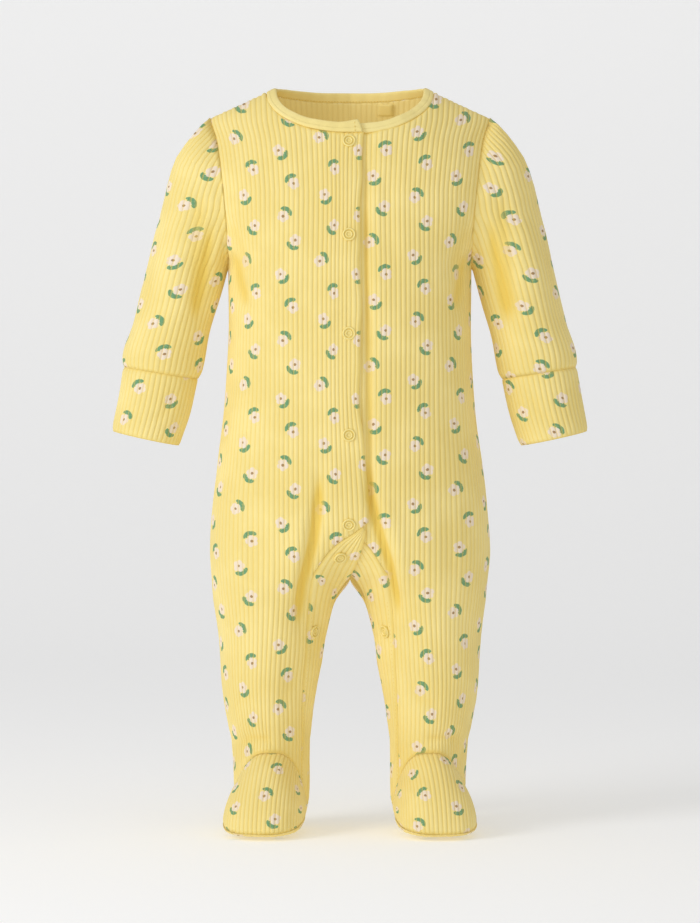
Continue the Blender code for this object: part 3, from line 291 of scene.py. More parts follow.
# Troughs (depth below 0) and ridges of the cloth, each along a line of (x, z) on one face.
# Those of "under" are on the front that lies under the lap alone.
FOLDS = {
    "columns": ("face", "width", "depth", "line"),
    "rows": (
        ("front", 4.6, -4.6, ((-21, -268), (-23, -300), (-27, -331), (-35, -364), (-37, -388), (-36, -408))),
        ("front", 7.0, 1.8, ((-33, -300), (-39, -345), (-47, -384))),
        ("front", 4.4, -4.2, ((12, -262), (15, -298), (22, -326), (29, -348), (33, -372), (34, -402))),
        ("front", 7.0, 1.6, ((24, -290), (36, -340), (44, -384))),
        ("front", 5.5, -2.6, ((-96, -112), (-84, -130), (-74, -168))),
        ("front", 5.0, -1.6, ((-92, -92), (-82, -112), (-70, -140))),
        ("front", 5.5, -2.4, ((95, -114), (84, -132), (76, -172))),
        ("front", 5.0, -1.5, ((92, -96), (80, -118), (70, -142))),
        ("under", 2.6, -2.6, ((11, -20), (11.5, -60), (11.5, -120), (13, -180), (14, -250), (14, -330))),
        ("front", 6.0, 0.8, ((3, -40), (5, -110), (7, -190), (8, -290))),
        ("front", 6.0, -1.0, ((30, -52), (26, -96), (33, -138))),
        ("front", 8.0, -1.0, ((-60, -290), (-70, -330), (-72, -380))),
        ("front", 8.0, -1.0, ((62, -286), (72, -332), (76, -372))),
        ("front", 6.0, -1.3, ((-38, -420), (-46, -446), (-60, -458))),
        ("front", 6.0, -1.4, ((40, -426), (52, -448), (70, -452))),
        ("front", 4.5, -1.8, ((-86, -482), (-70, -476), (-52, -478))),
        ("front", 4.5, -1.8, ((86, -480), (68, -475), (50, -478))),
        ("front", 4.5, -2.6, ((-99, -88), (-103, -118), (-108, -150), (-114, -180))),
        ("front", 4.5, -2.6, ((99, -86), (104, -118), (110, -152), (116, -182))),
        ("front", 7.0, -2.0, ((-104, -60), (-112, -100), (-113, -146), (-120, -186))),
        ("front", 8.0, 1.4, ((-122, -62), (-128, -110), (-138, -168))),
        ("front", 6.0, -1.3, ((-138, -74), (-146, -128), (-152, -180))),
        ("front", 7.0, -2.2, ((105, -62), (112, -98), (116, -148), (124, -190))),
        ("front", 8.0, 1.3, ((121, -66), (130, -118), (141, -172))),
        ("front", 6.0, -1.4, ((140, -92), (147, -132), (156, -186))),
        ("front", 5.0, -1.2, ((-124, -216), (-134, -236), (-150, -248))),
        ("front", 5.0, -1.2, ((128, -220), (138, -238), (152, -244))),
        ("back", 9.0, -1.8, ((-80, -100), (-66, -132), (-48, -150))),
        ("back", 9.0, -1.8, ((82, -96), (64, -128), (40, -146))),
        ("back", 10.0, -1.8, ((-62, -238), (-20, -262), (26, -266), (66, -246))),
        ("back", 9.0, -1.4, ((-70, -212), (-26, -232), (20, -230))),
        ("back", 8.0, -2.6, ((-6, -330), (-22, -352), (-52, -362), (-80, -352))),
        ("back", 8.0, -2.6, ((6, -328), (26, -350), (54, -364), (82, -356))),
        ("back", 6.0, -1.6, ((-78, -398), (-52, -408), (-34, -402))),
        ("back", 6.0, -1.6, ((80, -404), (56, -412), (36, -404))),
        ("back", 5.0, -1.8, ((-84, -484), (-60, -477), (-38, -482))),
        ("back", 5.0, -1.8, ((84, -482), (60, -476), (38, -481))),
        ("back", 7.0, -1.8, ((-106, -64), (-116, -112), (-124, -170))),
        ("back", 7.0, -1.8, ((107, -68), (116, -108), (126, -176))),
        ("back", 6.0, -1.2, ((-130, -90), (-142, -150), (-150, -190))),
        ("back", 6.0, -1.2, ((132, -86), (143, -146), (152, -188))),
    ),
}

SHADES = {
    "cloth": (0.88, 0.745, 0.32),
    # groove: painted shade, laid into the rib grooves, the fold troughs and the snaps' sunk rings. The
    # thread's twist is tinted with it too.
    "groove": (0.77, 0.55, 0.09),
    "inside": (0.84, 0.71, 0.33),
    # The two glows below are painted light: a faint emission standing in for light that passes through and
    # bounces inside thin cloth, which keeps its shade golden.
    "glow": (0.95, 0.62, 0.08),
    "painted_inner_glow": (0.88, 0.78, 0.34),
    "binding": (0.90, 0.755, 0.32),
    "petal": (0.83, 0.73, 0.64),
    "heart": (0.24, 0.11, 0.015),
    "leaf": (0.06, 0.29, 0.17),
    "snap": (0.91, 0.755, 0.28),
    "thread": (0.86, 0.63, 0.17),
    "studio": (0.82, 0.82, 0.82),
}

# One sprig in millimetres, with half of its leaf's arc in radians.
FLOWER = {
    "above": 2.2, "petal": 3.2, "lobe": 1.25, "heart": 1.25,
    "arc": 5.75, "half_turn": 0.93, "outer": 1.8, "inner": 1.15, "leaflet": 1.2,
}

# The print: a repeat of small flower sprigs, in millimetres, and the turn of each in degrees.
REPEAT = (61.0, 90.0)
SPRIGS = {
    "columns": ("across", "down", "turn"),
    "rows": (
        (12.0, 3.0, 215),
        (19.0, 24.0, 28),
        (10.5, 48.5, 322),
        (17.5, 69.0, 148),
        (48.5, 13.0, 35),
        (40.0, 36.0, 235),
        (49.5, 58.5, 160),
        (42.0, 81.0, 335),
    ),
}


# Shape functions


def smooth(value):
    value = min(max(value, 0.0), 1.0)
    return value * value * (3 - 2 * value)


def soften(values):
    values = np.clip(values, 0.0, 1.0)
    return values * values * (3 - 2 * values)


def mix(a, b, share):
    return a + (b - a) * share


def shares(count):
    return [k / count for k in range(count + 1)]


def halve(low, high, is_low, steps):
    """The place between low and high up to which is_low holds."""
    for _ in range(steps):
        middle = (low + high) / 2
        if is_low(middle):
            low = middle
        else:
            high = middle
    return (low + high) / 2


def smooth_between(start, start_slope, end, end_slope, width, t):
    """A value at the share t of the way between two places that lie width apart."""
    return (
        start * (1 + 2 * t) * (1 - t) ** 2
        + start_slope * width * t * (1 - t) ** 2
        + end * t * t * (3 - 2 * t)
        + end_slope * width * t * t * (t - 1)
    )


def curve_through(table, column):
    """A smooth function of the table's first column that keeps between neighbouring rows."""
    place = table["columns"].index(column)
    rows = sorted(table["rows"])
    xs = [row[0] for row in rows]
    ys = [row[place] for row in rows]
    steps = [(ys[i + 1] - ys[i]) / (xs[i + 1] - xs[i]) for i in range(len(xs) - 1)]
    slopes = [steps[0]]
    for before, after in zip(steps, steps[1:]):
        slopes.append(2 * before * after / (before + after) if before * after > 0 else 0.0)
    slopes.append(steps[-1])

    def value_at(x):
        if x <= xs[0]:
            return ys[0]
        if x >= xs[-1]:
            return ys[-1]
        i = max(k for k in range(len(xs) - 1) if xs[k] <= x)
        width = xs[i + 1] - xs[i]
        return smooth_between(ys[i], slopes[i], ys[i + 1], slopes[i + 1], width, (x - xs[i]) / width)

    return value_at


def columns_of(table):
    return {name: curve_through(table, name) for name in table["columns"][1:]}


trunk = columns_of(TRUNK)
leg = columns_of(LEG)
armhole_x = curve_through(ARMHOLE, "x")
cap = columns_of(SLEEVE_CAP)
arm_rings = columns_of(ARM_RINGS)
cuff_rings = columns_of(CUFF_RINGS)
band_top = curve_through(BAND_TOP, "z")
past_centre = curve_through(BAND_EDGE, "past_centre")


def arc_table(points):
    lengths = [0.0]
    for before, after in zip(points, points[1:]):
        lengths.append(lengths[-1] + math.dist(before, after))
    return lengths


def point_along(points, lengths, distance):
    last = len(points) - 2
    i = 0
    while i < last and lengths[i + 1] < distance:
        i += 1
    share = (distance - lengths[i]) / (lengths[i + 1] - lengths[i])
    return tuple(mix(a, b, share) for a, b in zip(points[i], points[i + 1]))


def leg_share(z):
    """0 on the trunk and 1 on the leg: the crotch curve, seen from the side."""
    down = min(max((TRUNK_END - z) / (TRUNK_END - CROTCH), 0.0), 1.0)
    return 1 - math.sqrt(1 - down * down)


def trunk_depth(x, z, face):
    outward = min(abs(x) / trunk["side"](z), 1.0)
    return trunk[face](z) * (1 - outward ** TRUNK_POWER[face]) ** (1 / TRUNK_POWER[face])


def fill_groove(points):
    """Cloth bridges the groove between the legs in front with a round bottom."""
    beyond = next(i for i, (x, _) in enumerate(points) if x >= GROOVE_HALF)
    (x, depth), (next_x, next_depth) = points[beyond], points[beyond + 1]
    slope = (next_depth - depth) / (next_x - x)
    floor = depth - slope * x / 2
    filled = [(x * i / beyond, floor + slope * x / 2 * (i / beyond) ** 2) for i in range(beyond)]
    return filled + points[beyond:]


def make_section(z, face):
    """Half a level section, from the centre or the inseam to the side seam, as (x, depth)."""
    inward = leg_share(z)
    outward = smooth((TRUNK_END - z) / 100)
    middle, inner, depth = leg["middle"](z), leg["inner"](z), leg[face](z)
    fold = leg["fold"](z) * (1 if face == "front" else -1)
    side, outer = trunk["side"](z), leg["outer"](z)
    points = []
    for step in range(SECTION_STEPS):
        share = step / SECTION_STEPS
        turn = share * math.pi / 2
        power = 2 / INNER_POWER[face]
        on_trunk = (middle * share, trunk_depth(middle * share, z, face))
        on_leg = (
            middle - (middle - inner) * math.cos(turn) ** power,
            fold + (depth - fold) * math.sin(turn) ** power,
        )
        points.append(tuple(mix(a, b, inward) for a, b in zip(on_trunk, on_leg)))
    if face == "front" and z > CROTCH:
        points = fill_groove(points)
    bend = 2 / TRUNK_POWER[face]
    start = math.asin((middle / side) ** (1 / bend))
    for step in range(SECTION_STEPS + 1):
        share = step / SECTION_STEPS
        angle = mix(start, math.pi / 2, share)
        cosine = max(math.cos(angle), 0.0)
        on_trunk = (side * math.sin(angle) ** bend, trunk[face](z) * cosine**bend)
        turn = share * math.pi / 2
        power = 2 / OUTER_POWER
        on_leg = (
            middle + (outer - middle) * math.sin(turn) ** power,
            depth * max(math.cos(turn), 0.0) ** power,
        )
        reach = mix(inward, outward, share)
        points.append(tuple(mix(a, b, reach) for a, b in zip(on_trunk, on_leg)))
    lengths = arc_table(points)
    return points, lengths, LEG_MIDDLE - lengths[SECTION_STEPS]


sections = {}


def section(z, face):
    key = (round(z, 1), face)
    if key not in sections:
        sections[key] = make_section(key[0], face)
    return sections[key]


def start_c(z, face="front"):
    return section(z, face)[2]


def side_c(z, face="front"):
    _, lengths, shift = section(z, face)
    return lengths[-1] + shift


def on_section(c, z, face):
    """(x, depth) at c. Before the section's start it goes on over the centre, or round the inseam."""
    points, lengths, shift = section(z, face)
    distance = c - shift
    if distance >= 0:
        return point_along(points, lengths, min(distance, lengths[-1]))
    if z > CROTCH:
        x, depth = point_along(points, lengths, -distance)
        return -x, depth
    points, lengths, shift = section(z, "back" if face == "front" else "front")
    x, depth = point_along(points, lengths, -distance)
    return x, -depth


def shoulder_z(x):
    return -(abs(x) - SHOULDER_START) * SHOULDER_SLOPE


def shoulder_rounding(x, z):
    below = min(max(shoulder_z(x) - z, 0.0) / SHOULDER_ROUND, 1.0)
    return math.sqrt(1 - (1 - below) ** 2)


def body_point(c, z, face):
    """The mean surface of the trunk or leg."""
    outwards = -1 if face == "front" else 1
    if z <= ARMHOLE_MID:
        x, depth = on_section(c, z, face)
        if z > TRUNK_END or x > LEG_MIDDLE:
            depth = max(depth, SEAM / 2)
        return Vector((x, outwards * depth, z))
    x, _ = on_section(c, ARMHOLE_MID, face)
    x *= armhole_x(z) / armhole_x(ARMHOLE_MID)
    depth = max(trunk_depth(x, z, face) * shoulder_rounding(x, z), SEAM / 2)
    return Vector((x, outwards * depth, z))


def neck_z(x, face):
    across = min(abs(x) / NECK_HALF, 1.0)
    if abs(x) >= NECK_HALF:
        return shoulder_z(x)
    if face == "front":
        return mix(-NECK_FRONT_DROP, -NECK_SIDE_DROP, 1 - math.sqrt(1 - across * across))
    return mix(-NECK_BACK_DROP, -NECK_SIDE_DROP, across**2.5)


def top_z(c, face, first=None):
    z = 0.0
    for _ in range(8):
        z = neck_z(panel_point(c, z, face, first).x, face)
    return z


def armhole_c(z, face):
    points, lengths, shift = section(z, face)
    limit = armhole_x(z)
    for i, (x, _) in enumerate(points[1:], 1):
        if x >= limit:
            share = (limit - points[i - 1][0]) / (x - points[i - 1][0])
            return mix(lengths[i - 1], lengths[i], share) + shift
    return lengths[-1] + shift


def armhole_z(c, face):
    return halve(ARMPIT, ARMHOLE_MID, lambda z: armhole_c(z, face) >= c, 24)


def spread(c, z, face):
    """Ribs beyond the middle of the leg fan out with the girth, and others run straight down."""
    if c <= LEG_MIDDLE or z >= ARMPIT:
        return c
    chest = side_c(ARMPIT, face)
    return LEG_MIDDLE + (c - LEG_MIDDLE) * (side_c(z, face) - LEG_MIDDLE) / (chest - LEG_MIDDLE)


def spread_inside(c, z, first):
    """The back's ribs inside the middle of the leg spread as its centre line moves away."""
    if c >= LEG_MIDDLE:
        return c
    now = LEG_MIDDLE - start_c(min(z, ARMHOLE_MID), "back")
    return LEG_MIDDLE - (LEG_MIDDLE - c) * now / (LEG_MIDDLE - first)


def panel_place(c, z, face, first=None):
    if first is not None:
        c = spread_inside(c, z, first)
    return spread(c, z, face)


def panel_point(c, z, face, first=None):
    return body_point(panel_place(c, z, face, first), z, face)


def surface_normal(c, z, face):
    step = 0.5
    across = body_point(c + step, z, face) - body_point(c - step, z, face)
    down = body_point(c, z - step, face) - body_point(c, z + step, face)
    found = (down.cross(across) * (1 if face == "front" else -1)).normalized()
    at_side = z < ARMPIT and c > side_c(z, face) - 1
    at_inseam = z < CROTCH and c < start_c(z, face) + 1
    on_shoulder = z > shoulder_z(body_point(c, z, face).x) - 0.5
    if at_side or at_inseam or on_shoulder:
        found.y = 0
    return found.normalized()


def on_body(c, z, face, level):
    """A point at a level over the mean surface, and the direction out of the cloth there."""
    out = surface_normal(c, z, face)
    return body_point(c, z, face) + out * level, out


def split_pairs(rows):
    """Rows of points and rows of directions, from rows of pairs of both."""
    return [[[pair[part] for pair in row] for row in rows] for part in (0, 1)]


def lap_level(c, over):
    """How far a front lies over or under the mean surface where the fronts lap."""
    if over:
        return LAP_RISE * smooth((OVER_LAP_END - c) / OVER_LAP_FADE)
    return LAP_SINK * smooth((UNDER_LAP_END - c) / UNDER_LAP_FADE)


def band_level(c, z, over):
    return lap_level(c, over) * smooth((z - BAND_LAP_END) / 16)


def foot_place(forward, sideways, z):
    x = FOOT_MIDDLE[0] + forward * math.sin(FOOT_SPLAY) + sideways * math.cos(FOOT_SPLAY)
    y = FOOT_MIDDLE[1] - forward * math.cos(FOOT_SPLAY) + sideways * math.sin(FOOT_SPLAY)
    return Vector((x, y, z))


def sole_z(forward):
    return SOLE_AT_ANKLE - SOLE_SLOPE * forward


def foot_half(forward):
    """Half the foot's width at a distance in front of the ankle."""
    return ANKLE_HALF + TOE_WIDENING * max(forward, 0) / TOE_REACH


def sole_outline(turn):
    """(forward, sideways) of the sole's edge, with the toes at a quarter turn."""
    cosine, sine = math.cos(turn), math.sin(turn)
    reach, power = (TOE_REACH, TOE_POWER) if sine >= 0 else (-HEEL_REACH, HEEL_POWER)
    forward = reach * abs(sine) ** power
    return forward, math.copysign(foot_half(forward) * abs(cosine) ** power, cosine)


def sole_seam(turn, lift=0.0):
    forward, sideways = sole_outline(turn)
    return foot_place(forward, sideways, sole_z(forward) + SOLE_EDGE + lift)


def sole_reach(across, half):
    """How far the sole reaches to the toes (half 1) or the heel (half -1), at a share across."""
    def is_wider(turn):
        forward, sideways = sole_outline(half * turn)
        return sideways / foot_half(forward) > abs(across)

    return sole_outline(half * halve(0.0, math.pi / 2, is_wider, 29))[0]


def instep_seam(ring_point):
    """The place of the seam round the instep that lies below a point of the ankle ring."""
    middle = leg["middle"](ANKLE_RING)
    across = ring_point.x - middle
    half = (leg["outer"](ANKLE_RING) if across > 0 else 2 * middle - leg["inner"](ANKLE_RING)) - middle
    side = min(abs(across) / half, 1.0) ** INSTEP_POWER
    corner = sole_seam(0.0) if across > 0 else sole_seam(math.pi)
    ring_side = middle + math.copysign(half, across)
    z = mix(INSTEP_TOP, corner.z, side)
    return Vector((ring_point.x + (corner.x - ring_side) * side, mix(ring_point.y, corner.y, side), z))


def instep_normal(point):
    outward = Vector((point.x - FOOT_MIDDLE[0], point.y - FOOT_MIDDLE[1], 0)).normalized()
    outward.y *= smooth((point.z - sole_seam(0.0).z) / 8)
    ahead = max(-outward.y, 0.0)
    return (outward + Vector((0, 0, 0.8 * ahead))).normalized()


def bow(start, pull, end, share):
    """A place along a way from start to end that bows out towards pull."""
    return start.lerp(pull, share).lerp(pull.lerp(end, share), share)


def hang(start, end, share, out=None):
    """A way down from the ankle ring that ends upright, pushed outwards by out on its way."""
    pull = Vector((end.x, end.y, mix(end.z, start.z, 0.4)))
    if out:
        pull += out
    return bow(start, pull, end, share)


def surface_depth(x, z, face):
    return abs(trunk_depth(x, z, face)) * shoulder_rounding(x, z)


def cap_section(z, face):
    """A level section of a sleeve above the armpit, from its outer line to the armhole."""
    start = armhole_x(z) - ARMHOLE_OVERLAP
    start_depth = surface_depth(armhole_x(z), z, face) if z > ARMPIT else 0.0
    outer = max(cap["outer"](z), start + 1.0)
    depth = max(cap["depth"](z), start_depth * 1.03)
    reach = math.sqrt(1 - (start_depth / depth) ** 2)
    middle = (start + reach * outer) / (1 + reach)
    end = math.acos(-reach)
    points = []
    for step in range(SECTION_STEPS + 1):
        angle = end * step / SECTION_STEPS
        points.append((middle + (outer - middle) * math.cos(angle), depth * math.sin(angle)))
    return points, arc_table(points)


def ring_point(rings, level, around):
    """A point of an arm ring. around is -1 and 1 at the inner line, and 0 at the outer one."""
    inner = Vector((rings["inner_x"](level), 0, rings["inner_z"](level)))
    outer = Vector((rings["outer_x"](level), 0, rings["outer_z"](level)))
    depth = rings["depth"](level)
    half = (outer - inner) / 2
    flat = []
    for k in range(SECTION_STEPS + 1):
        turn = math.pi * k / SECTION_STEPS
        flat.append((half.length * math.cos(turn), depth * math.sin(turn)))
    lengths = arc_table(flat)
    along, out = point_along(flat, lengths, abs(around) * lengths[-1])
    point = (inner + outer) / 2 + half.normalized() * along
    point.y = (-1 if around < 0 else 1) * out - rings["forward"](level)
    return point


def cap_level_z(level):
    return mix(ARMPIT - 1, CAP_TOP, -level)


def cap_point(level, around):
    face = "front" if around < 0 else "back"
    z = cap_level_z(level)
    points, lengths = cap_section(z, face)
    _, whole = cap_section(ARMPIT - 1, face)
    x, depth = point_along(points, lengths, min(abs(around) * whole[-1], lengths[-1]))
    return Vector((x, -depth if around < 0 else depth, z))


def cap_top_level(around):
    """The level where the sleeve meets the armhole."""
    face = "front" if around < 0 else "back"
    reach = abs(around) * cap_section(ARMPIT - 1, face)[1][-1]
    return halve(-1.0, 0.0, lambda level: cap_section(cap_level_z(level), face)[1][-1] < reach, 20)


def arm_point(level, around):
    """A point of a sleeve, on its cap where level is below 0."""
    return cap_point(level, around) if level < 0 else ring_point(arm_rings, level, around)


def armhole_edge(face):
    """The cut edge of a panel at the armhole, from the shoulder to ARMHOLE_MID."""
    c = armhole_c(ARMHOLE_MID, face) - SEAM / 2
    top = top_z(c, face)
    return [panel_point(c, mix(top, ARMHOLE_MID, (k / 9) ** 1.7), face) for k in range(10)]


def on_edge(edge, z):
    for above, below in zip(edge, edge[1:]):
        if z >= below.z:
            return above.lerp(below, min(max((z - above.z) / (below.z - above.z), 0.0), 1.0))
    return edge[-1]


def along_curve(place, start, end):
    """Even steps along a curve: a function of the share of its length."""
    points = [tuple(place(mix(start, end, share))) for share in shares(60)]
    lengths = arc_table(points)
    return lambda share: Vector(point_along(points, lengths, share * lengths[-1]))


def instep_curve(share):
    inner_c, outer_c = start_c(ANKLE_RING), side_c(ANKLE_RING)
    return instep_seam(body_point(mix(inner_c, outer_c, share), ANKLE_RING, "front"))


def neck_point(angle):
    x = NECK_HALF * math.sin(angle)
    face = "front" if math.cos(angle) > 0 else "back"
    if face == "front":
        z = mix(-NECK_FRONT_DROP, -NECK_SIDE_DROP, 1 - math.cos(angle))
    else:
        z = mix(-NECK_BACK_DROP, -NECK_SIDE_DROP, abs(math.sin(angle)) ** 2.5)
    depth = surface_depth(x, z, face)
    return Vector((x, -depth if face == "front" else depth, z))


def binding_level(turn):
    """The binding's start rides over its own end where the fronts lap."""
    over = BINDING_RISE * smooth((turn - math.radians(-40)) / math.radians(22))
    under = BINDING_SINK * smooth((math.radians(-318) - turn) / math.radians(24))
    return over + under


def neck_frame(turn):
    """(point, up, outwards) of the neck seam."""
    tangent = (neck_point(turn - 0.02) - neck_point(turn + 0.02)).normalized()
    inwards = Vector((-math.sin(turn), math.cos(turn), 0))
    lean = mix(mix(0.15, 0.28, (1 + math.cos(turn)) / 2), 0.93, abs(math.sin(turn)) ** 1.5)
    up = inwards * lean + Vector((0, 0, math.sqrt(1 - lean * lean)))
    outwards = tangent.cross(up).normalized()
    if outwards.dot(inwards) > 0:
        outwards = -outwards
    up = (up - tangent * up.dot(tangent)).normalized()
    return neck_point(turn), up, outwards


def c_at(x, z):
    """The place along the front's cloth that lies at x."""
    return halve(start_c(z) - 20, LEG_MIDDLE, lambda c: body_point(c, z, "front").x < x, 29)


# Grids of cloth. A grid holds points and directions out of the cloth, in rows that run down.

MISSING = (math.nan, math.nan, math.nan)


def as_grid(rows):
    return np.array([[MISSING if p is None else tuple(p) for p in row] for row in rows], float)


def refine(grid, places, fine, breaks):
    """Reads a grid at finer places across its columns, smoothly between the breaks."""
    found = np.full((len(grid), len(fine), grid.shape[2]), np.nan)
    for start, end in zip(breaks, breaks[1:]):
        x = places[start : end + 1]
        y = grid[:, start : end + 1]
        slopes = np.gradient(y, x, axis=1, edge_order=2 if len(x) > 2 else 1)
        inside = np.nonzero((fine >= x[0] - 1e-6) & (fine <= x[-1] + 1e-6))[0]
        i = np.clip(np.searchsorted(x, fine[inside], side="right") - 1, 0, len(x) - 2)
        width = (x[i + 1] - x[i])[None, :, None]
        t = (fine[inside] - x[i])[None, :, None] / width
        part = smooth_between(y[:, i], slopes[:, i], y[:, i + 1], slopes[:, i + 1], width, t)
        found[:, inside] = np.where(np.isnan(part), found[:, inside], part)
    return found


def rib_places(start, end, pitch, marks=()):
    """Places across a piece, six to a rib, that pass through the marks."""
    count = int((end - start) / pitch) + 1
    places = [start + pitch * (k + phase) for k in range(count) for phase in RIB_PHASES]
    fixed = [start, end, *marks]
    places = [p for p in places if start < p < end and min(abs(p - f) for f in fixed) > 0.08 * pitch]
    return np.array(sorted(places + fixed))


def rib_height(places, start, pitch):
    """0 in a groove and 1 on a rib, each rib a little different."""
    turns = (places - start) / pitch
    uneven = 0.86 + 0.14 * np.sin(np.floor(turns) * 2.4 + 1.3 * np.sin(np.floor(turns) * 0.7))
    return (1 - np.abs(np.cos(np.pi * turns)) ** 12) * uneven


def run_distances(points, axis):
    """Distances along the rows or columns from their first and to their last point."""
    steps = np.nan_to_num(np.linalg.norm(np.diff(points, axis=axis), axis=2), nan=0.0)
    length = np.cumsum(steps, axis=axis)
    start = np.zeros_like(np.take(length, [0], axis=axis))
    length = np.concatenate([start, length], axis=axis)
    return length, np.take(length, [-1], axis=axis) - length


def fold_depth(points, normals, under):
    """How far the troughs and ridges move each point along its normal."""
    x, z = points[..., 0], points[..., 2]
    total = np.zeros_like(x)
    for face, width, depth, line in FOLDS["rows"]:
        if face == "under" and not under:
            continue
        facing = 1 if face == "back" else -1
        turned = soften(facing * normals[..., 1] / 0.45)
        best = np.full_like(x, 1e9)
        share = np.zeros_like(x)
        whole = arc_table(line)
        for k, (a, b) in enumerate(zip(line, line[1:])):
            ax, az = b[0] - a[0], b[1] - a[1]
            t = np.clip(((x - a[0]) * ax + (z - a[1]) * az) / (ax * ax + az * az), 0, 1)
            away = np.hypot(x - a[0] - t * ax, z - a[1] - t * az)
            nearer = away < best
            share = np.where(nearer, (whole[k] + t * (whole[k + 1] - whole[k])) / whole[-1], share)
            best = np.minimum(best, away)
        ends = soften(share / 0.3) * soften((1 - share) / 0.3)
        total += depth * np.exp(-((best / width) ** 2)) * turned * ends
    return total


def softness(points):
    """Slow, uneven give of soft cloth."""
    x, y, z = points[..., 0], points[..., 1], points[..., 2]
    return (
        0.32 * np.sin(x / 17.0 + 0.6 * np.sin(z / 31.0) + y / 23.0)
        + 0.26 * np.sin(z / 22.0 + 1.1 * np.sin(x / 37.0) - y / 29.0 + 1.0)
        + 0.16 * np.sin((x + z) / 9.5 + y / 12.0 + 2.0)
    )


def edge_distance(points, closed=False, open_rows=0):
    """How far each point lies from the nearest edge of its piece, and from its top edge."""
    from_left, to_right = run_distances(points, 1)
    from_top, to_bottom = run_distances(points, 0)
    nearest = np.minimum(from_top, to_bottom)
    if not closed:
        from_left[:open_rows] = 1e3
        nearest = np.minimum(np.minimum(from_left, to_right), nearest)
    return nearest, from_top


def raise_cloth(grid):
    """The outer and inner points of a piece of cloth, and the height of its ribs and folds.

    Folds and give fade out at a piece's edges. Where a grid says joined they run on over the seams
    of the lower trunk and the leg.
    """
    points, normals = grid["points"], grid["normals"]
    normals = normals / np.linalg.norm(normals, axis=2, keepdims=True)
    edge, from_top = edge_distance(points, grid.get("closed", False), grid.get("open_rows", 0))
    mirror = np.array([grid["side"], 1, 1])
    ribs = np.broadcast_to(grid["ribs"], edge.shape) * (0.2 + 0.8 * soften((edge - 0.6) / 2.6))
    signed = points * mirror
    z = signed[..., 2]
    through = soften((JOINED_TOP - z) / 20) * soften((z - JOINED_END) / 12)
    calm = np.maximum(soften(edge / 6), through * grid.get("joined", 0.0)) * grid.get("give", 1.0)
    folds = fold_depth(signed, normals * mirror, grid.get("under", False)) * calm
    along = grid["u"] + 0.83 * grid["v"]
    waves = np.sin(2 * np.pi * along / PUCKER_PITCH + 0.8 * np.sin(along / 11))
    pucker = PUCKER * waves * np.exp(-edge / PUCKER_REACH)
    level = folds + softness(signed) * calm + pucker * grid.get("puckered", 1.0)
    level = level + grid.get("lifted", 0.0) * (1 - soften(from_top / 5))
    sink = SEAM_SINK * (1 - soften(edge / 2.0)) * grid.get("sunk", 1.0)
    outer = points + normals * (level + RIB_RISE * (ribs - RIB_MEAN) - sink)[..., None]
    inner = points + normals * (level - CLOTH + 0.25 * (1 - soften(edge / 1.2)))[..., None]
    return outer * mirror, inner * mirror, ribs, folds


def cloth_faces(outer, inner, grid, base):
    """Vertices of a piece, its faces as (vertex indices, material, places), and what is there.

    The outer face has every point of the grid. The inner one has the columns that the grid keeps,
    and rims close the cloth where a piece ends.
    """
    rows, count = outer.shape[:2]
    there = ~np.isnan(outer[..., 0])
    cells = there[:-1, :-1] & there[1:, :-1] & there[:-1, 1:] & there[1:, 1:]
    keep = sorted({0, count - 1, *grid["keep"]})
    index_outer = np.full((rows, count), -1)
    index_inner = np.full((rows, count), -1)
    index_outer[there] = base + np.arange(there.sum())
    chosen = np.zeros((rows, count), bool)
    chosen[:, keep] = True
    chosen &= there
    index_inner[chosen] = base + there.sum() + np.arange(chosen.sum())
    vertices = np.concatenate([outer[there], inner[chosen]])
    flip = grid["flip"]
    faces = []

    def add_face(places, inside, turned=False):
        if flip != turned:
            places = places[::-1]
        corners = [(index_inner if under else index_outer)[row, column] for row, column, under in places]
        faces.append((corners, inside, [(row, column) for row, column, _ in places]))

    def cell(row, column):
        return 0 <= row < rows - 1 and 0 <= column < count - 1 and cells[row, column]

    closed = grid.get("closed", False)
    open_rows = grid.get("open_rows", 0)
    for row in range(rows - 1):
        for column in np.nonzero(cells[row])[0]:
            after = column + 1
            add_face([(row, column, 0), (row + 1, column, 0), (row + 1, after, 0), (row, after, 0)], 0)
        for left, right in zip(keep, keep[1:]):
            if not cell(row, left):
                continue
            add_face([(row, right, 1), (row + 1, right, 1), (row + 1, left, 1), (row, left, 1)], 1)
            for edge, missing, turned in ((left, left - 1, False), (right, right, True)):
                sewn_round = closed and edge in (0, count - 1)
                over_centre = edge == 0 and row < open_rows - 1
                if not (cell(row, missing) or sewn_round or over_centre):
                    rim = [(row, edge, 0), (row, edge, 1), (row + 1, edge, 1), (row + 1, edge, 0)]
                    add_face(rim, 1, turned)
            for end, missing, turned in ((row, row - 1, False), (row + 1, row + 1, True)):
                if cell(missing, left):
                    continue
                half = (left + right) // 2
                for column in range(left, right):
                    corner = (end, left if column < half else right, 1)
                    add_face([(end, column, 0), (end, column + 1, 0), corner], 1, turned)
                add_face([(end, left, 1), (end, half, 0), (end, right, 1)], 1, turned)
    return vertices, faces, (there, chosen)


def linked(name, data):
    """An object with this data, in the scene."""
    made = bpy.data.objects.new(name, data)
    bpy.context.scene.collection.objects.link(made)
    return made


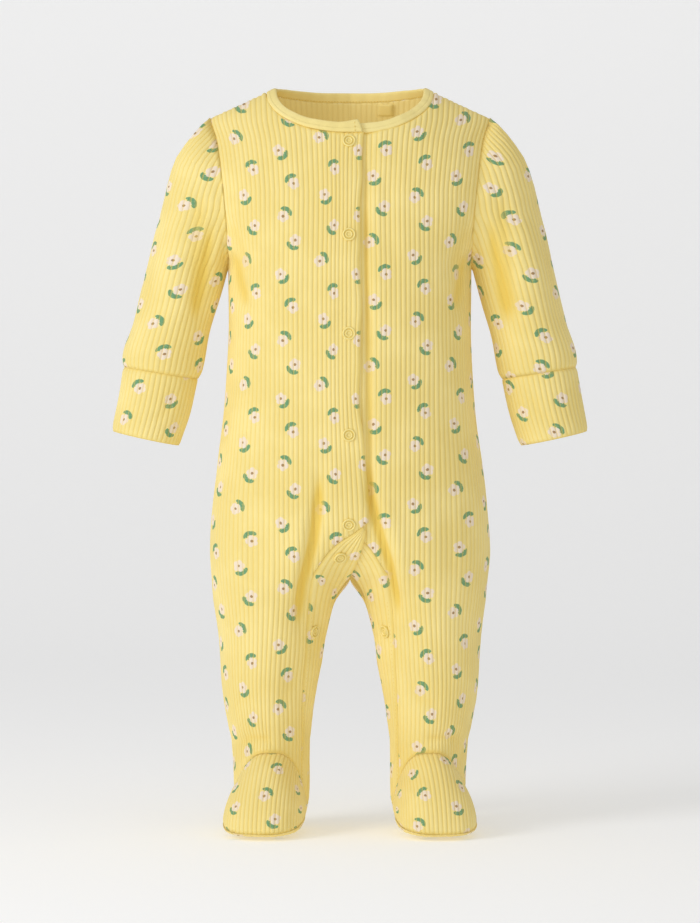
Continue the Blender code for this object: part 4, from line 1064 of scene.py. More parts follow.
def cloth_piece(name, grids, materials, merge=False):
    """One mesh object from one or more grids, with its print map and rib and fold heights."""
    vertices, faces = [], []
    # The rib and fold heights are kept on the mesh, and the cloth's material darkens the grooves and fold
    # troughs from them as painted shade.
    heights = {"rib_height": [], "fold_height": []}
    base = 0
    uvs = []
    for grid in grids:
        outer, inner, ribs, folds = raise_cloth(grid)
        found, made, (there, chosen) = cloth_faces(outer, inner, grid, base)
        vertices.append(found)
        heights["rib_height"].append(np.concatenate([ribs[there], np.full(chosen.sum(), 0.5)]))
        heights["fold_height"].append(np.concatenate([folds[there], folds[chosen]]))
        u = np.broadcast_to(grid["u"], there.shape) * grid["side"] + grid["shift"][0]
        v = grid["v"] + grid["shift"][1]
        base += len(found)
        for corners, inside, spots in made:
            faces.append((corners, inside))
            uvs += [(u[spot] * MM, -v[spot] * MM) for spot in spots]
        grid["outer"] = outer
    vertices = np.concatenate(vertices) * MM
    mesh = bpy.data.meshes.new(name)
    mesh.from_pydata(vertices.tolist(), [], [corners for corners, _ in faces])
    mesh.polygons.foreach_set("material_index", [inside for _, inside in faces])
    mesh.polygons.foreach_set("use_smooth", [True] * len(faces))
    layer = mesh.uv_layers.new(name="UVMap")
    layer.data.foreach_set("uv", np.array(uvs, np.float32).ravel())
    for kind, values in heights.items():
        attribute = mesh.attributes.new(kind, "FLOAT", "POINT")
        attribute.data.foreach_set("value", np.concatenate(values).astype(np.float32))
    for material in materials:
        mesh.materials.append(material)
    if merge:
        shell = bmesh.new()
        shell.from_mesh(mesh)
        bmesh.ops.remove_doubles(shell, verts=shell.verts, dist=MERGE)
        shell.to_mesh(mesh)
        shell.free()
    return linked(name, mesh)


def lay_flat(grid, turn=1):
    """Gives a grid a print map from its own lengths across and down."""
    points = grid["points"]
    middle = points.shape[1] // 2
    across, _ = run_distances(points, 1)
    down, _ = run_distances(points[:, middle : middle + 1], 0)
    grid["u"] = turn * (across - across[:, middle : middle + 1])
    grid["v"] = np.broadcast_to(down, across.shape)
    return grid


def grid_area(grid):
    """The cloth's area in square metres."""
    p = grid["points"]
    a, b, c, d = p[:-1, :-1], p[1:, :-1], p[1:, 1:], p[:-1, 1:]
    quads = np.linalg.norm(np.cross(c - a, d - b), axis=2) / 2
    return float(np.nansum(quads)) * MM * MM


def dress(piece, node, grids):
    """Attaches a finished cloth piece to the root and hides the part it stands for. Its area and flat size
    are worked out and left unused.
    """
    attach(piece, "root")
    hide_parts(node)
    area = sum(grid_area(grid) for grid in grids)
    width = max(float(np.nanmax(g["u"]) - np.nanmin(g["u"])) for g in grids) * len(grids) * MM
    length = max(float(np.nanmax(g["v"]) - np.nanmin(g["v"])) for g in grids) * MM
    length = max(length, area / width)


# Panels


def panel_grid(face, columns, heights, level_at, first=None):
    """Points and normals of a front or the back at its coarse columns."""
    def place(c, z):
        if z is None:
            return None, None
        return on_body(panel_place(c, z, face, first), z, face, level_at(c))

    return split_pairs([[place(c, z) for c, z in zip(columns, row)] for row in heights])


def even_columns(first, marks):
    """Places across a panel that pass through the marks, and which of them are marks."""
    columns, breaks = [first], [0]
    for before, after in zip([first] + marks, marks):
        count = max(round((after - before) / COLUMN_STEP), 2)
        columns += [mix(before, after, share) for share in shares(count)[1:]]
        breaks.append(len(columns) - 1)
    return columns, breaks


def trunk_heights(columns, arm, face, hip_bottom, first=None):
    """The height of each point of a panel's trunk, row by row. None is beyond the armhole."""
    heights = []
    for share in shares(SHOULDER_ROWS)[:-1]:
        row = [mix(top_z(c, face, first), ARMHOLE_MID, share**1.5) for c in columns[: arm + 1]]
        heights.append(row + [None] * (len(columns) - len(row)))
    notch = [ARMHOLE_MID if j <= arm else armhole_z(c, face) - SEAM for j, c in enumerate(columns)]
    heights += [[mix(top, WAIST_ROW, share) for top in notch] for share in shares(CHEST_ROWS)[:-1]]
    heights += [[mix(WAIST_ROW, hip_bottom(c), share) for c in columns] for share in shares(HIP_ROWS)]
    return heights


def blend_neck_normals(points, normals):
    """Near the neck a panel turns square to the binding."""
    for k in range(5):
        weight = 1 - smooth(k / 5)
        for column, point in enumerate(points[k]):
            if point and abs(point.x) < NECK_HALF:
                turn = math.asin(point.x / NECK_HALF)
                turn = math.pi - turn if point.y > 0 else turn
                normals[k][column] = normals[k][column].lerp(neck_frame(turn)[2], weight).normalized()


def between_stations(stations, places, fine):
    """Rows at the fine places, smoothly between rows of points at the given places."""
    grid = as_grid(stations).transpose(1, 0, 2)
    made = refine(grid, np.array(places, float), np.array(fine, float), [0, len(places) - 1])
    return [[Vector(p) for p in row] for row in made.transpose(1, 0, 2)]


def leg_heights(top):
    return [mix(top, ANKLE_RING, share) for share in shares(round((top - ANKLE_RING) / 4))[1:]]


def down_to_instep(ring, ring_normals):
    """Rows of points and normals from the ankle ring down to the instep seam."""
    def place(point, normal, share):
        if point is None:
            return None, None
        below = instep_seam(point)
        corner = smooth((sole_seam(0.0).z + 12 - below.z) / 12)
        clear = Vector((0, mix(SEAM / 2, -SEAM / 2, corner), SEAM / 2))
        return hang(point, below + clear, share), normal.lerp(instep_normal(below), share)

    pairs = list(zip(ring, ring_normals))
    return split_pairs([[place(*pair, share) for pair in pairs] for share in shares(INSTEP_ROWS)[1:]])


def fine_grid(points, normals, columns, fine, breaks, pitch, side, flip, shift, **more):
    """A grid refined across, with its print map running along the ribs."""
    places = np.array(columns)
    points = refine(as_grid(points), places, fine, breaks)
    grid = {
        "points": points,
        "normals": refine(as_grid(normals), places, fine, breaks),
        "ribs": rib_height(fine, fine[0], pitch),
        "keep": list(range(0, len(fine), 6)) + [int(np.argmin(abs(fine - places[b]))) for b in breaks],
        "side": side,
        "flip": flip,
        "shift": shift,
        "u": np.broadcast_to(fine, points.shape[:2]),
        "v": -points[..., 2],
    }
    return grid | more


def draw_in_edge(rows, columns):
    """Draws the over-lap's edge in towards its snaps, with small waves."""
    for row in rows:
        for point, c in zip(row, columns):
            if point and c < EDGE_REACH:
                z = point.z
                wave = 0.8 * math.sin(z / 19 + 0.8) + 0.4 * math.sin(z / 7.7)
                wave = wave * smooth((z + 322) / 20) * smooth((-50 - z) / 20) * smooth((-2 - c) / 9)
                drawn_in = EDGE_DRAWN_IN * smooth((z + 322) / 110) - 1.3 * smooth((z + 60) / 40)
                point.x += wave + drawn_in * smooth((EDGE_REACH - c) / 37)


def front_grid(side, over, shift):
    arm_c = armhole_c(ARMHOLE_MID, "front")
    marks = [BAND_SEAM, arm_c - SEAM / 2, side_c(ARMPIT, "front") - SEAM / 2]
    columns, breaks = even_columns(-LAP, marks)
    _, seam, arm, _ = breaks
    heights = trunk_heights(columns, arm, "front", lambda c: band_top(min(c, BAND_SEAM)))
    trunk_rows = len(heights)
    heights += [[None] * seam + [z] * (len(columns) - seam) for z in LEG_STATIONS]
    points, normals = panel_grid("front", columns, heights, lambda c: lap_level(c, over))
    blend_neck_normals(points, normals)
    if over:
        draw_in_edge(points[:trunk_rows], columns)
    # The leg's rows are read off finer than its stations, smoothly on from the trunk's last three.
    above = trunk_rows - 3
    places = [-row[seam] for row in heights[above:]]
    fine_places = [-z for z in leg_heights(heights[trunk_rows - 1][seam])]
    for rows in (points, normals):
        stations = [row[seam:] for row in rows[above:]]
        rows[trunk_rows:] = [[None] * seam + row for row in between_stations(stations, places, fine_places)]
    lower, lower_normals = down_to_instep(points[-1], normals[-1])
    fine = rib_places(-LAP, marks[-1], RIB_PITCH, marks[:-1])
    rows = (points + lower, normals + lower_normals)
    more = {"joined": 1.0, "under": not over}
    return fine_grid(*rows, columns, fine, breaks, RIB_PITCH, side, side < 0, shift, **more)


def heel_end(around):
    end = sole_seam(math.pi * (1 + around), SEAM / 2)
    end.y += SEAM / 2
    ankle = Vector((*FOOT_MIDDLE, end.z))
    return end, (end - ankle).normalized()


def down_to_heel(ring, ring_normals):
    """Rows of points and normals from the ankle ring down round the heel to the sole."""
    def place(point, normal, around, share):
        end, out = heel_end(around)
        bulge = out * HEEL_BULGE * math.sin(math.pi * around)
        if around in (0, 1):
            out = Vector((out.x, 0, 0))
        return hang(point, end, share, bulge), normal.lerp(out, share)

    spots = list(zip(ring, ring_normals, shares(len(ring) - 1)))
    return split_pairs([[place(*spot, share) for spot in spots] for share in shares(HEEL_ROWS)[1:]])


def back_grid(side, shift):
    arm_c = armhole_c(ARMHOLE_MID, "back")
    first = start_c(ARMPIT, "back")
    marks = [arm_c - SEAM / 2, side_c(ARMPIT, "back") - SEAM / 2]
    columns, breaks = even_columns(first, marks)
    heights = trunk_heights(columns, breaks[1], "back", lambda c: CROTCH, first)
    centre_rows = len(heights)
    for z in (*BELOW_CROTCH, *leg_heights(BELOW_CROTCH[-1])):
        heights.append([z] * len(columns))
    points, normals = panel_grid("back", columns, heights, lambda c: 0.0, first)
    for row in range(centre_rows):
        points[row][0].x = 0
        normals[row][0].x = 0
    blend_neck_normals(points, normals)
    for row in range(centre_rows, len(points)):
        points[row][0].y += SEAM / 2
    lower, lower_normals = down_to_heel(points[-1], normals[-1])
    fine = rib_places(first, marks[-1], RIB_PITCH, marks[:-1])
    rows = (points + lower, normals + lower_normals)
    more = {"open_rows": centre_rows, "joined": 1.0}
    return fine_grid(*rows, columns, fine, breaks, RIB_PITCH, side, side > 0, shift, **more)


def band_rows(corners, count, level_at):
    """Points and normals across a band, from c and z at its seam and c and z at its edge."""
    rows = []
    for seam_c, seam_z, edge_c, edge_z in corners:
        spots = [(mix(seam_c, edge_c, share), mix(seam_z, edge_z, share)) for share in shares(count)]
        rows.append([on_body(c, z, "front", level_at(c, z)) for c, z in spots])
    return split_pairs(rows)


def band_grid(side, over, shift):
    """A band from the lap along its front's lower edge and down the inner leg."""
    starts = []
    for seam_c, edge_z in BAND_START:
        seam_z = band_top(seam_c) - BAND_GAP * mix(1, 1.7, smooth((seam_c - 8) / 10))
        starts.append((seam_c, seam_z, edge_z))
    starts += [(BAND_SEAM - SEAM, z, z) for z in LEG_STATIONS]
    corners = []
    for seam_c, seam_z, edge_z in starts:
        edge_c = start_c(edge_z) - past_centre(edge_z) + SEAM / 2
        corners.append((seam_c, seam_z, edge_c, edge_z))
    count = 14
    points, normals = band_rows(corners, count, lambda c, z: band_level(c, z, over))
    places = arc_table([tuple(row[count // 2]) for row in points])
    fine_places = np.linspace(0, places[-1], round(places[-1] / 2.5) + 1)
    points = between_stations(points, places, fine_places)
    normals = between_stations(normals, places, fine_places)
    lower, lower_normals = down_to_instep(points[-1], normals[-1])
    rows = (points + lower, normals + lower_normals)
    pitch = 1 / BAND_RIBS
    fine = rib_places(0.0, 1.0, pitch)
    breaks = [0, count]
    return lay_flat(
        fine_grid(*rows, shares(count), fine, breaks, pitch, side, side > 0, shift, joined=1.0), -1
    )


def under_band_grid(side, shift):
    """Half of the under-band, from the centre of the crotch down to the ankle."""
    corners = []
    for c, seam_z, edge_z in UNDER_BAND_START:
        corners.append((start_c(seam_z) + c, seam_z, start_c(edge_z) + SEAM / 2, edge_z))
    for z in UNDER_BAND_STATIONS:
        corners.append((start_c(z) + UNDER_BAND_WIDE, z, start_c(z) + SEAM / 2, z))
    count = 3
    rows = band_rows(corners, count, lambda c, z: -mix(3.2, 5.2, smooth((z + 390) / 30)))
    pitch = 1 / UNDER_BAND_RIBS
    fine = rib_places(0.0, 1.0, pitch)
    made = []
    for stations, centre in zip(rows, (UNDER_BAND_CENTRE, UNDER_BAND_FACING)):
        stations.insert(0, [Vector((0, y, z)) for y, z in centre])
        last = len(stations) - 1
        wide = refine(as_grid(stations), np.array(shares(count)), fine, [0, count])
        steps = np.linspace(0, last, 12 * last + 1)
        down = np.arange(len(stations), dtype=float)
        made.append(refine(wide.transpose(1, 0, 2), down, steps, [0, last]).transpose(1, 0, 2))
    grid = {
        "points": made[0],
        "normals": made[1],
        "ribs": rib_height(fine, 0.0, pitch),
        "keep": list(range(0, len(fine), 3)),
        "side": side,
        "flip": side > 0,
        "shift": shift,
    }
    return lay_flat(grid)


# Sleeves and cuffs


def arm_grid(rows, ribs, half_girth, side, shift, lifted):
    """A tube of cloth from rows of points at even steps round the arm, first and last alike."""
    pitch = 2 / ribs
    fine = rib_places(-1.0, 1.0, pitch)
    points = as_grid(rows)
    wrapped = np.concatenate([points[:, -2:-1], points, points[:, 1:2]], axis=1)
    normals = np.cross(np.gradient(points, axis=0), wrapped[:, 2:] - wrapped[:, :-2])
    normals /= np.linalg.norm(normals, axis=2, keepdims=True)
    places = np.linspace(-1, 1, ARM_STEPS + 1)
    step = places[1] - places[0]
    before, after = places[0] + step * np.arange(-3, 0), places[-1] + step * np.arange(1, 4)
    wider = np.concatenate([before, places, after])
    made = []
    for values in (points, normals):
        extended = np.concatenate([values[:, -4:-1], values, values[:, 1:4]], axis=1)
        made.append(refine(extended, wider, fine, [0, len(wider) - 1]))
        made[-1][:, -1] = made[-1][:, 0]
    return {
        "points": made[0],
        "normals": made[1],
        "ribs": rib_height(fine, -1.0, pitch),
        "keep": list(range(0, len(fine), 6)),
        "side": side,
        "flip": side < 0,
        "shift": shift,
        "closed": True,
        "lifted": lifted,
        "u": np.broadcast_to(fine * half_girth, made[0].shape[:2]),
        "v": -made[0][..., 2] * 1.045,
    }


def sleeve_grid(side, shift):
    """A sleeve from the armhole down to the cuff. Its top rows are drawn on to the armhole's edge."""
    tops = [cap_top_level(around) for around in ARM_AROUND]
    rows = []
    for share in shares(20)[:-1]:
        levels = [mix(top, SLEEVE_EVEN, share**1.35) for top in tops]
        rows.append([arm_point(level, around) for level, around in zip(levels, ARM_AROUND)])
    for share in shares(19):
        level = mix(SLEEVE_EVEN, SLEEVE_END, share)
        rows.append([arm_point(level, around) for around in ARM_AROUND])
    edges = {"front": armhole_edge("front"), "back": armhole_edge("back")}
    for column, (point, around) in enumerate(zip(rows[0], ARM_AROUND)):
        if point.z > ARMHOLE_MID:
            beside = on_edge(edges["front" if around < 0 else "back"], point.z)
            forward = math.copysign(max(abs(beside.y), CAP_SPREAD * abs(around)), beside.y)
            moved = Vector((beside.x - ARMHOLE_OVERLAP, forward, point.z)) - point
            fade_in = smooth((point.z - ARMHOLE_MID) / 8)
            for k in range(DRAWN_ROWS):
                rows[k][column] = rows[k][column] + moved * (1 - smooth(k / DRAWN_ROWS)) * fade_in
    return arm_grid(rows, SLEEVE_RIBS, SLEEVE_HALF_GIRTH, side, shift, SLEEVE_LIFT)


def cuff_grid(side, shift):
    """A cuff, with its first row tucked up into the sleeve."""
    rows = [[ring_point(cuff_rings, 2 * share, around) for around in ARM_AROUND] for share in shares(22)]
    tops = zip(rows[0], rows[1])
    rows.insert(0, [top + (top - below).normalized() * CUFF_TUCK for top, below in tops])
    return arm_grid(rows, CUFF_RIBS, CUFF_HALF_GIRTH, side, shift, CUFF_LIFT)


# Feet


def foot_grid(points, normals, ribs, side, shift, give):
    columns = shares(len(points[0]) - 1)
    fine = rib_places(0.0, 1.0, 1 / ribs)
    breaks = [0, len(columns) - 1]
    return fine_grid(points, normals, columns, fine, breaks, 1 / ribs, side, side < 0, shift, give=give)


def vamp_grid(side, shift):
    """The upper of a foot, from the instep seam down to the toe's edge."""
    above = along_curve(instep_curve, 0.0, 1.0)
    below = along_curve(sole_seam, math.pi, 0.0)

    def place(off, share):
        start = above(0.5 + off * (1.2 - 0.8 * off * off)) - Vector((0, SEAM / 2, SEAM / 2))
        end = below(0.5 + off * (0.75 + off * off)) + Vector((0, 0, SEAM / 2))
        pull = end.lerp(start, 0.12)
        pull.z = mix(start.z, end.z, 0.32)
        return bow(start, pull, end, share)

    offs = [mix(-0.48, 0.48, share) for share in shares(44)]
    points = [[place(off, share) for off in offs] for share in shares(22)]
    grid = as_grid(points)
    normals = np.cross(np.gradient(grid, axis=0), np.gradient(grid, axis=1))
    return lay_flat(foot_grid(points, normals, VAMP_RIBS, side, shift, 0.5))


def sole_grid(side, shift):
    """A sole from its toes to its heel, with its edge turned up a little."""
    widest = 0.97
    reaches = []
    for k in range(27):
        across = widest * math.sin(math.pi / 2 * (2 * k / 26 - 1))
        reaches.append((across, sole_reach(across, 1), sole_reach(across, -1)))
    points = []
    for k in range(31):
        share = 0.5 - 0.5 * math.cos(math.pi * k / 30)
        row = []
        for across, toe, heel in reaches:
            forward = mix(toe, heel, share)
            edge = max(abs(across) / widest, abs(2 * share - 1)) ** 6
            z = sole_z(forward) + SOLE_EDGE * edge - SEAM / 2 - CLOTH
            row.append(foot_place(forward, across * foot_half(forward), z))
        points.append(row)
    normals = np.zeros_like(as_grid(points))
    normals[..., 2] = -1
    made = foot_grid(points, normals, SOLE_RIBS, side, shift, 0.3)
    edge, _ = edge_distance(made["points"])
    made["ribs"] = mix(RIB_MEAN, made["ribs"], soften((edge - 3) / 5))
    return lay_flat(made)


# Binding, loop and snaps


def shell_object(name, vertices, faces, material):
    mesh = bpy.data.meshes.new(name)
    mesh.from_pydata([tuple(v) for v in vertices], [], faces)
    mesh.polygons.foreach_set("use_smooth", [True] * len(faces))
    mesh.materials.append(material)
    return linked(name, mesh)


def binding_profile():
    """(rise, thickness) round the binding's section: a soft flat tape folded over the edge."""
    profile = []
    for k in range(20):
        turn = 2 * math.pi * k / 20
        rise = 0.5 + 0.5 * math.copysign(abs(math.cos(turn)) ** 0.55, math.cos(turn))
        thick = -0.35 + 1.25 * math.copysign(abs(math.sin(turn)) ** 0.7, math.sin(turn))
        profile.append((rise, thick))
    sewn_line = [(0.44, 0.9), (0.385, 0.5), (0.33, 0.88)]
    return profile[:6] + sewn_line + profile[6:]


def neck_binding(material):
    profile = binding_profile()
    sides = len(profile)
    vertices, faces, uvs = [], [], []
    for k in range(BINDING_STATIONS + 1):
        turn = mix(BINDING_START, BINDING_END, k / BINDING_STATIONS)
        base, up, outwards = neck_frame(turn)
        wave = 0.22 * math.sin(k * 0.37) + 0.15 * math.sin(k * 0.83 + 1)
        from_end = k / BINDING_SLANT
        tall = 1.0 + 0.26 * smooth(1 - from_end)
        for rise, thick in profile:
            height = mix(-0.02, tall, rise) * BINDING_WIDE + 0.12 * math.sin(k * 0.21)
            full = thick * (1.0 + 0.12 * math.sin(k * 0.9)) + binding_level(turn) + wave * 0.5
            slant = Vector((-2.6 * rise**1.5 * (1 - from_end), 0, 0)) if from_end < 1 else Vector()
            vertices.append((base + up * height + outwards * full + slant) * MM)
    for k in range(BINDING_STATIONS):
        for s in range(sides):
            a, b = k * sides + s, k * sides + (s + 1) % sides
            faces.append((a, a + sides, b + sides, b))
            for station, place in ((k, s), (k + 1, s), (k + 1, s + 1), (k, s + 1)):
                uvs.append((station * BINDING_STEP * MM, place * BINDING_SIDE * MM))
    for start in (0, BINDING_STATIONS * sides):
        ring = list(range(start, start + sides))
        faces.append(ring if start == 0 else ring[::-1])
        uvs += [(0.0, 0.0)] * sides
    piece = shell_object("cloth_neck_binding", vertices, faces, material)
    layer = piece.data.uv_layers.new(name="UVMap")
    layer.data.foreach_set("uv", np.array(uvs, np.float32).ravel())
    piece.data.polygons[-1].use_smooth = False
    piece.data.polygons[-2].use_smooth = False
    return piece


def loop_grid(shift):
    """The hanger loop, a small folded tape inside the back neck."""
    count = 12
    start, end = 20.2, 30.9
    columns = [mix(start, end, share) for share in shares(count)]
    rows = []
    for k in range(14):
        z = mix(-8.0, -16.2, k / 13)
        row = []
        for j, c in enumerate(columns):
            sag = 0.25 * math.sin(math.pi * k / 13) * math.sin(2.2 * j / count + 0.5)
            row.append(on_body(c, z, "back", -1.75 - sag))
        rows.append(row)
    fine = np.linspace(start, end, 25)
    more = {"ribs": np.full(len(fine), RIB_MEAN), "give": 0.0, "puckered": 0.0, "sunk": 0.5}
    return fine_grid(*split_pairs(rows), columns, fine, [0, count], RIB_PITCH, 1, True, shift, **more)


# Radius and height of each ring of a cap, and how much painted shade it has, most where it is sunk.
SNAP_RINGS = (
    (4.75, -0.8, 1.0), (4.85, 0.1, 1.0), (4.75, 0.5, 0.6), (4.5, 1.0, 0.0), (4.1, 1.2, 0.0),
    (3.75, 1.05, 0.0), (3.45, 0.5, 0.7), (3.2, 0.2, 1.0), (2.85, 0.2, 1.0), (2.6, 0.7, 0.5),
    (2.35, 1.0, 0.0), (1.95, 0.92, 0.0), (1.6, 0.42, 0.8), (1.2, 0.28, 1.0), (0.6, 0.34, 0.3),
)


def snap_cap(number, side, x, z, over, material):
    """A ring snap's cap, seated along the cloth's own direction."""
    c = c_at(x, z)
    level = band_level(c, z, over) if z < FOOT_OF_LAP else lap_level(c, over)
    place, out = on_body(c, z, "front", level + 0.3)
    turned = Vector((out.x * side, out.y, out.z)).to_track_quat("Z", "Y")
    base = Vector((place.x * side, place.y, place.z))
    vertices = []
    for radius, height, _ in SNAP_RINGS:
        for k in range(SNAP_SIDES):
            angle = 2 * math.pi * k / SNAP_SIDES
            spot = Vector((radius * math.cos(angle), radius * math.sin(angle), height))
            vertices.append((base + turned @ spot) * MM)
    faces = [tuple(reversed(range(SNAP_SIDES)))]
    for ring in range(0, len(vertices) - SNAP_SIDES, SNAP_SIDES):
        for k in range(SNAP_SIDES):
            a, b = ring + k, ring + (k + 1) % SNAP_SIDES
            faces.append((a, b, b + SNAP_SIDES, a + SNAP_SIDES))
    faces.append(tuple(range(len(vertices) - SNAP_SIDES, len(vertices))))
    piece = shell_object(f"ring_snap_{number}", vertices, faces, material)
    painted_ring_shade = piece.data.attributes.new("painted_ring_shade", "FLOAT", "POINT")
    painted_ring_shade.data.foreach_set("value", [ring[2] for ring in SNAP_RINGS for _ in range(SNAP_SIDES)])
    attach(piece, "root")
    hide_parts(f"snap_{number}")


# Stitches


def stitch_tree(thread):
    """Stitches of a set pitch, length and thickness along the edges of a mesh."""
    tree, given, made = new_group(
        "seam_stitches",
        (("Seam lines", GEOMETRY), ("Pitch", NUMBER), ("Length", NUMBER), ("Thickness", NUMBER)),
        (("Stitches", GEOMETRY),),
        "GeometryNodeTree",
    )
    line = add(tree, "GeometryNodeMeshToCurve", {"Mesh": given["Seam lines"]})
    even = add(tree, "GeometryNodeResampleCurve", {"Curve": line, "Length": given["Pitch"]}, mode="LENGTH")
    bead = add(tree, "GeometryNodeMeshUVSphere", {"Segments": 6, "Rings": 4, "Radius": 0.5})
    way = add(tree, "GeometryNodeInputTangent")
    turn = add(tree, "FunctionNodeAlignRotationToVector", {"Vector": way}, axis="Z")
    sizes = {"X": given["Thickness"], "Y": given["Thickness"], "Z": given["Length"]}
    size = add(tree, "ShaderNodeCombineXYZ", sizes)
    beads = {"Points": even, "Instance": bead, "Rotation": turn, "Scale": size}
    placed = add(tree, "GeometryNodeInstanceOnPoints", beads)
    real = add(tree, "GeometryNodeRealizeInstances", {"Geometry": placed})
    sewn = add(tree, "GeometryNodeSetMaterial", {"Geometry": real, "Material": thread})
    tree.links.new(sewn, made["Stitches"])
    return tree


def stitch_lines(name, lines, tree, pitch, length, thickness):
    """A mesh of stitches along lines of points, in millimetres."""
    vertices, edges = [], []
    for line in lines:
        start = len(vertices)
        vertices += [Vector(p) * MM for p in line]
        edges += [(start + k, start + k + 1) for k in range(len(line) - 1)]
    mesh = bpy.data.meshes.new(name + "_lines")
    mesh.from_pydata(vertices, edges, [])
    guide = linked(name + "_lines", mesh)
    modifier = guide.modifiers.new("stitches", "NODES")
    modifier.node_group = tree
    sizes = {"Pitch": pitch, "Length": length, "Thickness": thickness}
    for item in tree.interface.items_tree:
        if item.in_out == "INPUT" and item.name in sizes:
            modifier[item.identifier] = sizes[item.name] * MM
    graph = bpy.context.evaluated_depsgraph_get()
    made = bpy.data.meshes.new_from_object(guide.evaluated_get(graph), depsgraph=graph)
    bpy.data.objects.remove(guide)
    made.name = name
    made.polygons.foreach_set("use_smooth", [True] * len(made.polygons))
    piece = linked(name, made)
    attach(piece, "root")


# Materials

NUMBER = "NodeSocketFloat"
VECTOR = "NodeSocketVector"
COLOUR = "NodeSocketColor"
GEOMETRY = "NodeSocketGeometry"


def feed(tree, socket, value):
    if isinstance(value, bpy.types.NodeSocket):
        tree.links.new(value, socket)
    else:
        socket.default_value = value


def add(tree, kind, inputs=(), out=0, **settings):
    """A node with its settings and inputs, which are sockets or values. Returns an output."""
    node = tree.nodes.new(kind)
    for name, value in settings.items():
        setattr(node, name, value)
    for place, value in dict(inputs).items():
        feed(tree, node.inputs[place], value)
    return node.outputs[out]


def maths(tree, operation, *values):
    return add(tree, "ShaderNodeMath", enumerate(values), operation=operation)


def vectors(tree, operation, *values):
    return add(tree, "ShaderNodeVectorMath", enumerate(values), operation=operation)


def noise(tree, place, scale, detail, out=0):
    return add(tree, "ShaderNodeTexNoise", {"Vector": place, "Scale": scale, "Detail": detail}, out)


def soft_step(tree, value, low, high):
    inputs = {"Value": value, "From Min": low, "From Max": high, "To Min": 0.0, "To Max": 1.0}
    return add(tree, "ShaderNodeMapRange", inputs, interpolation_type="SMOOTHSTEP")


def blend_colour(tree, factor, a, b):
    """A mixed colour. Its colours are sockets or plain shades, on the node's inputs 6 and 7."""
    a, b = [(*shade, 1) if isinstance(shade, tuple) else shade for shade in (a, b)]
    return add(tree, "ShaderNodeMix", {0: factor, 6: a, 7: b}, 2, data_type="RGBA")


def new_group(name, inputs, outputs, kind="ShaderNodeTree"):
    tree = bpy.data.node_groups.new(name, kind)
    for label, socket in inputs:
        tree.interface.new_socket(name=label, in_out="INPUT", socket_type=socket)
    for label, socket in outputs:
        tree.interface.new_socket(name=label, in_out="OUTPUT", socket_type=socket)
    return tree, tree.nodes.new("NodeGroupInput").outputs, tree.nodes.new("NodeGroupOutput").inputs


def group_node(tree, group, inputs):
    return add(tree, "ShaderNodeGroup", inputs, node_tree=group).node.outputs


def sprig_group():
    """One flower head with a curved leaf sprig beside it, repeated over the cloth."""
    tree, given, made = new_group(
        "flower_sprig",
        (("Place", VECTOR), ("Across", NUMBER), ("Down", NUMBER), ("Turn", NUMBER)),
        (("Petals", NUMBER), ("Heart", NUMBER), ("Leaf", NUMBER)),
    )
    calc = partial(maths, tree)
    parts = add(tree, "ShaderNodeSeparateXYZ", {0: given["Place"]}).node.outputs
    wrapped = []
    for part, centre, size in zip(parts, (given["Across"], given["Down"]), REPEAT):
        wrapped.append(calc("WRAP", calc("SUBTRACT", part, centre), size / 2, -size / 2))
    flat = add(tree, "ShaderNodeCombineXYZ", enumerate(wrapped))
    turning = {"Vector": flat, "Angle": given["Turn"]}
    turned = add(tree, "ShaderNodeVectorRotate", turning, rotation_type="Z_AXIS")
    x, low, _ = add(tree, "ShaderNodeSeparateXYZ", {0: turned}).node.outputs
    y = calc("SUBTRACT", low, FLOWER["above"])
    away = calc("SQRT", calc("ADD", calc("MULTIPLY", x, x), calc("MULTIPLY", y, y)))
    angle = calc("ARCTAN2", x, calc("MULTIPLY", y, -1.0))
    lobes = calc("POWER", calc("ABSOLUTE", calc("COSINE", calc("MULTIPLY", angle, 2.5))), 0.6)
    reach = calc("MULTIPLY_ADD", lobes, FLOWER["lobe"], FLOWER["petal"])
    tree.links.new(soft_step(tree, calc("SUBTRACT", reach, away), -0.15, 0.2), made["Petals"])
    tree.links.new(soft_step(tree, away, FLOWER["heart"], 0.8), made["Heart"])
    # The leaf sprig follows an arc about the flower, cut into leaflets on its inner side.
    off = calc("ABSOLUTE", calc("DIVIDE", angle, FLOWER["half_turn"]))
    taper = calc("SQRT", calc("MAXIMUM", calc("SUBTRACT", 1.0, calc("POWER", off, 2.2)), 0.0))
    waves = calc("MULTIPLY_ADD", away, 0.8, calc("MULTIPLY", angle, 7.5))
    leaflets = calc("ABSOLUTE", calc("SINE", waves))
    outwards = calc("SUBTRACT", away, FLOWER["arc"])
    to_outer = calc("SUBTRACT", calc("MULTIPLY", taper, FLOWER["outer"]), outwards)
    inner_edge = calc("MULTIPLY_ADD", leaflets, FLOWER["leaflet"], FLOWER["inner"])
    room = calc("MINIMUM", to_outer, calc("ADD", calc("MULTIPLY", taper, inner_edge), outwards))
    tree.links.new(soft_step(tree, room, -0.12, 0.25), made["Leaf"])
    return tree


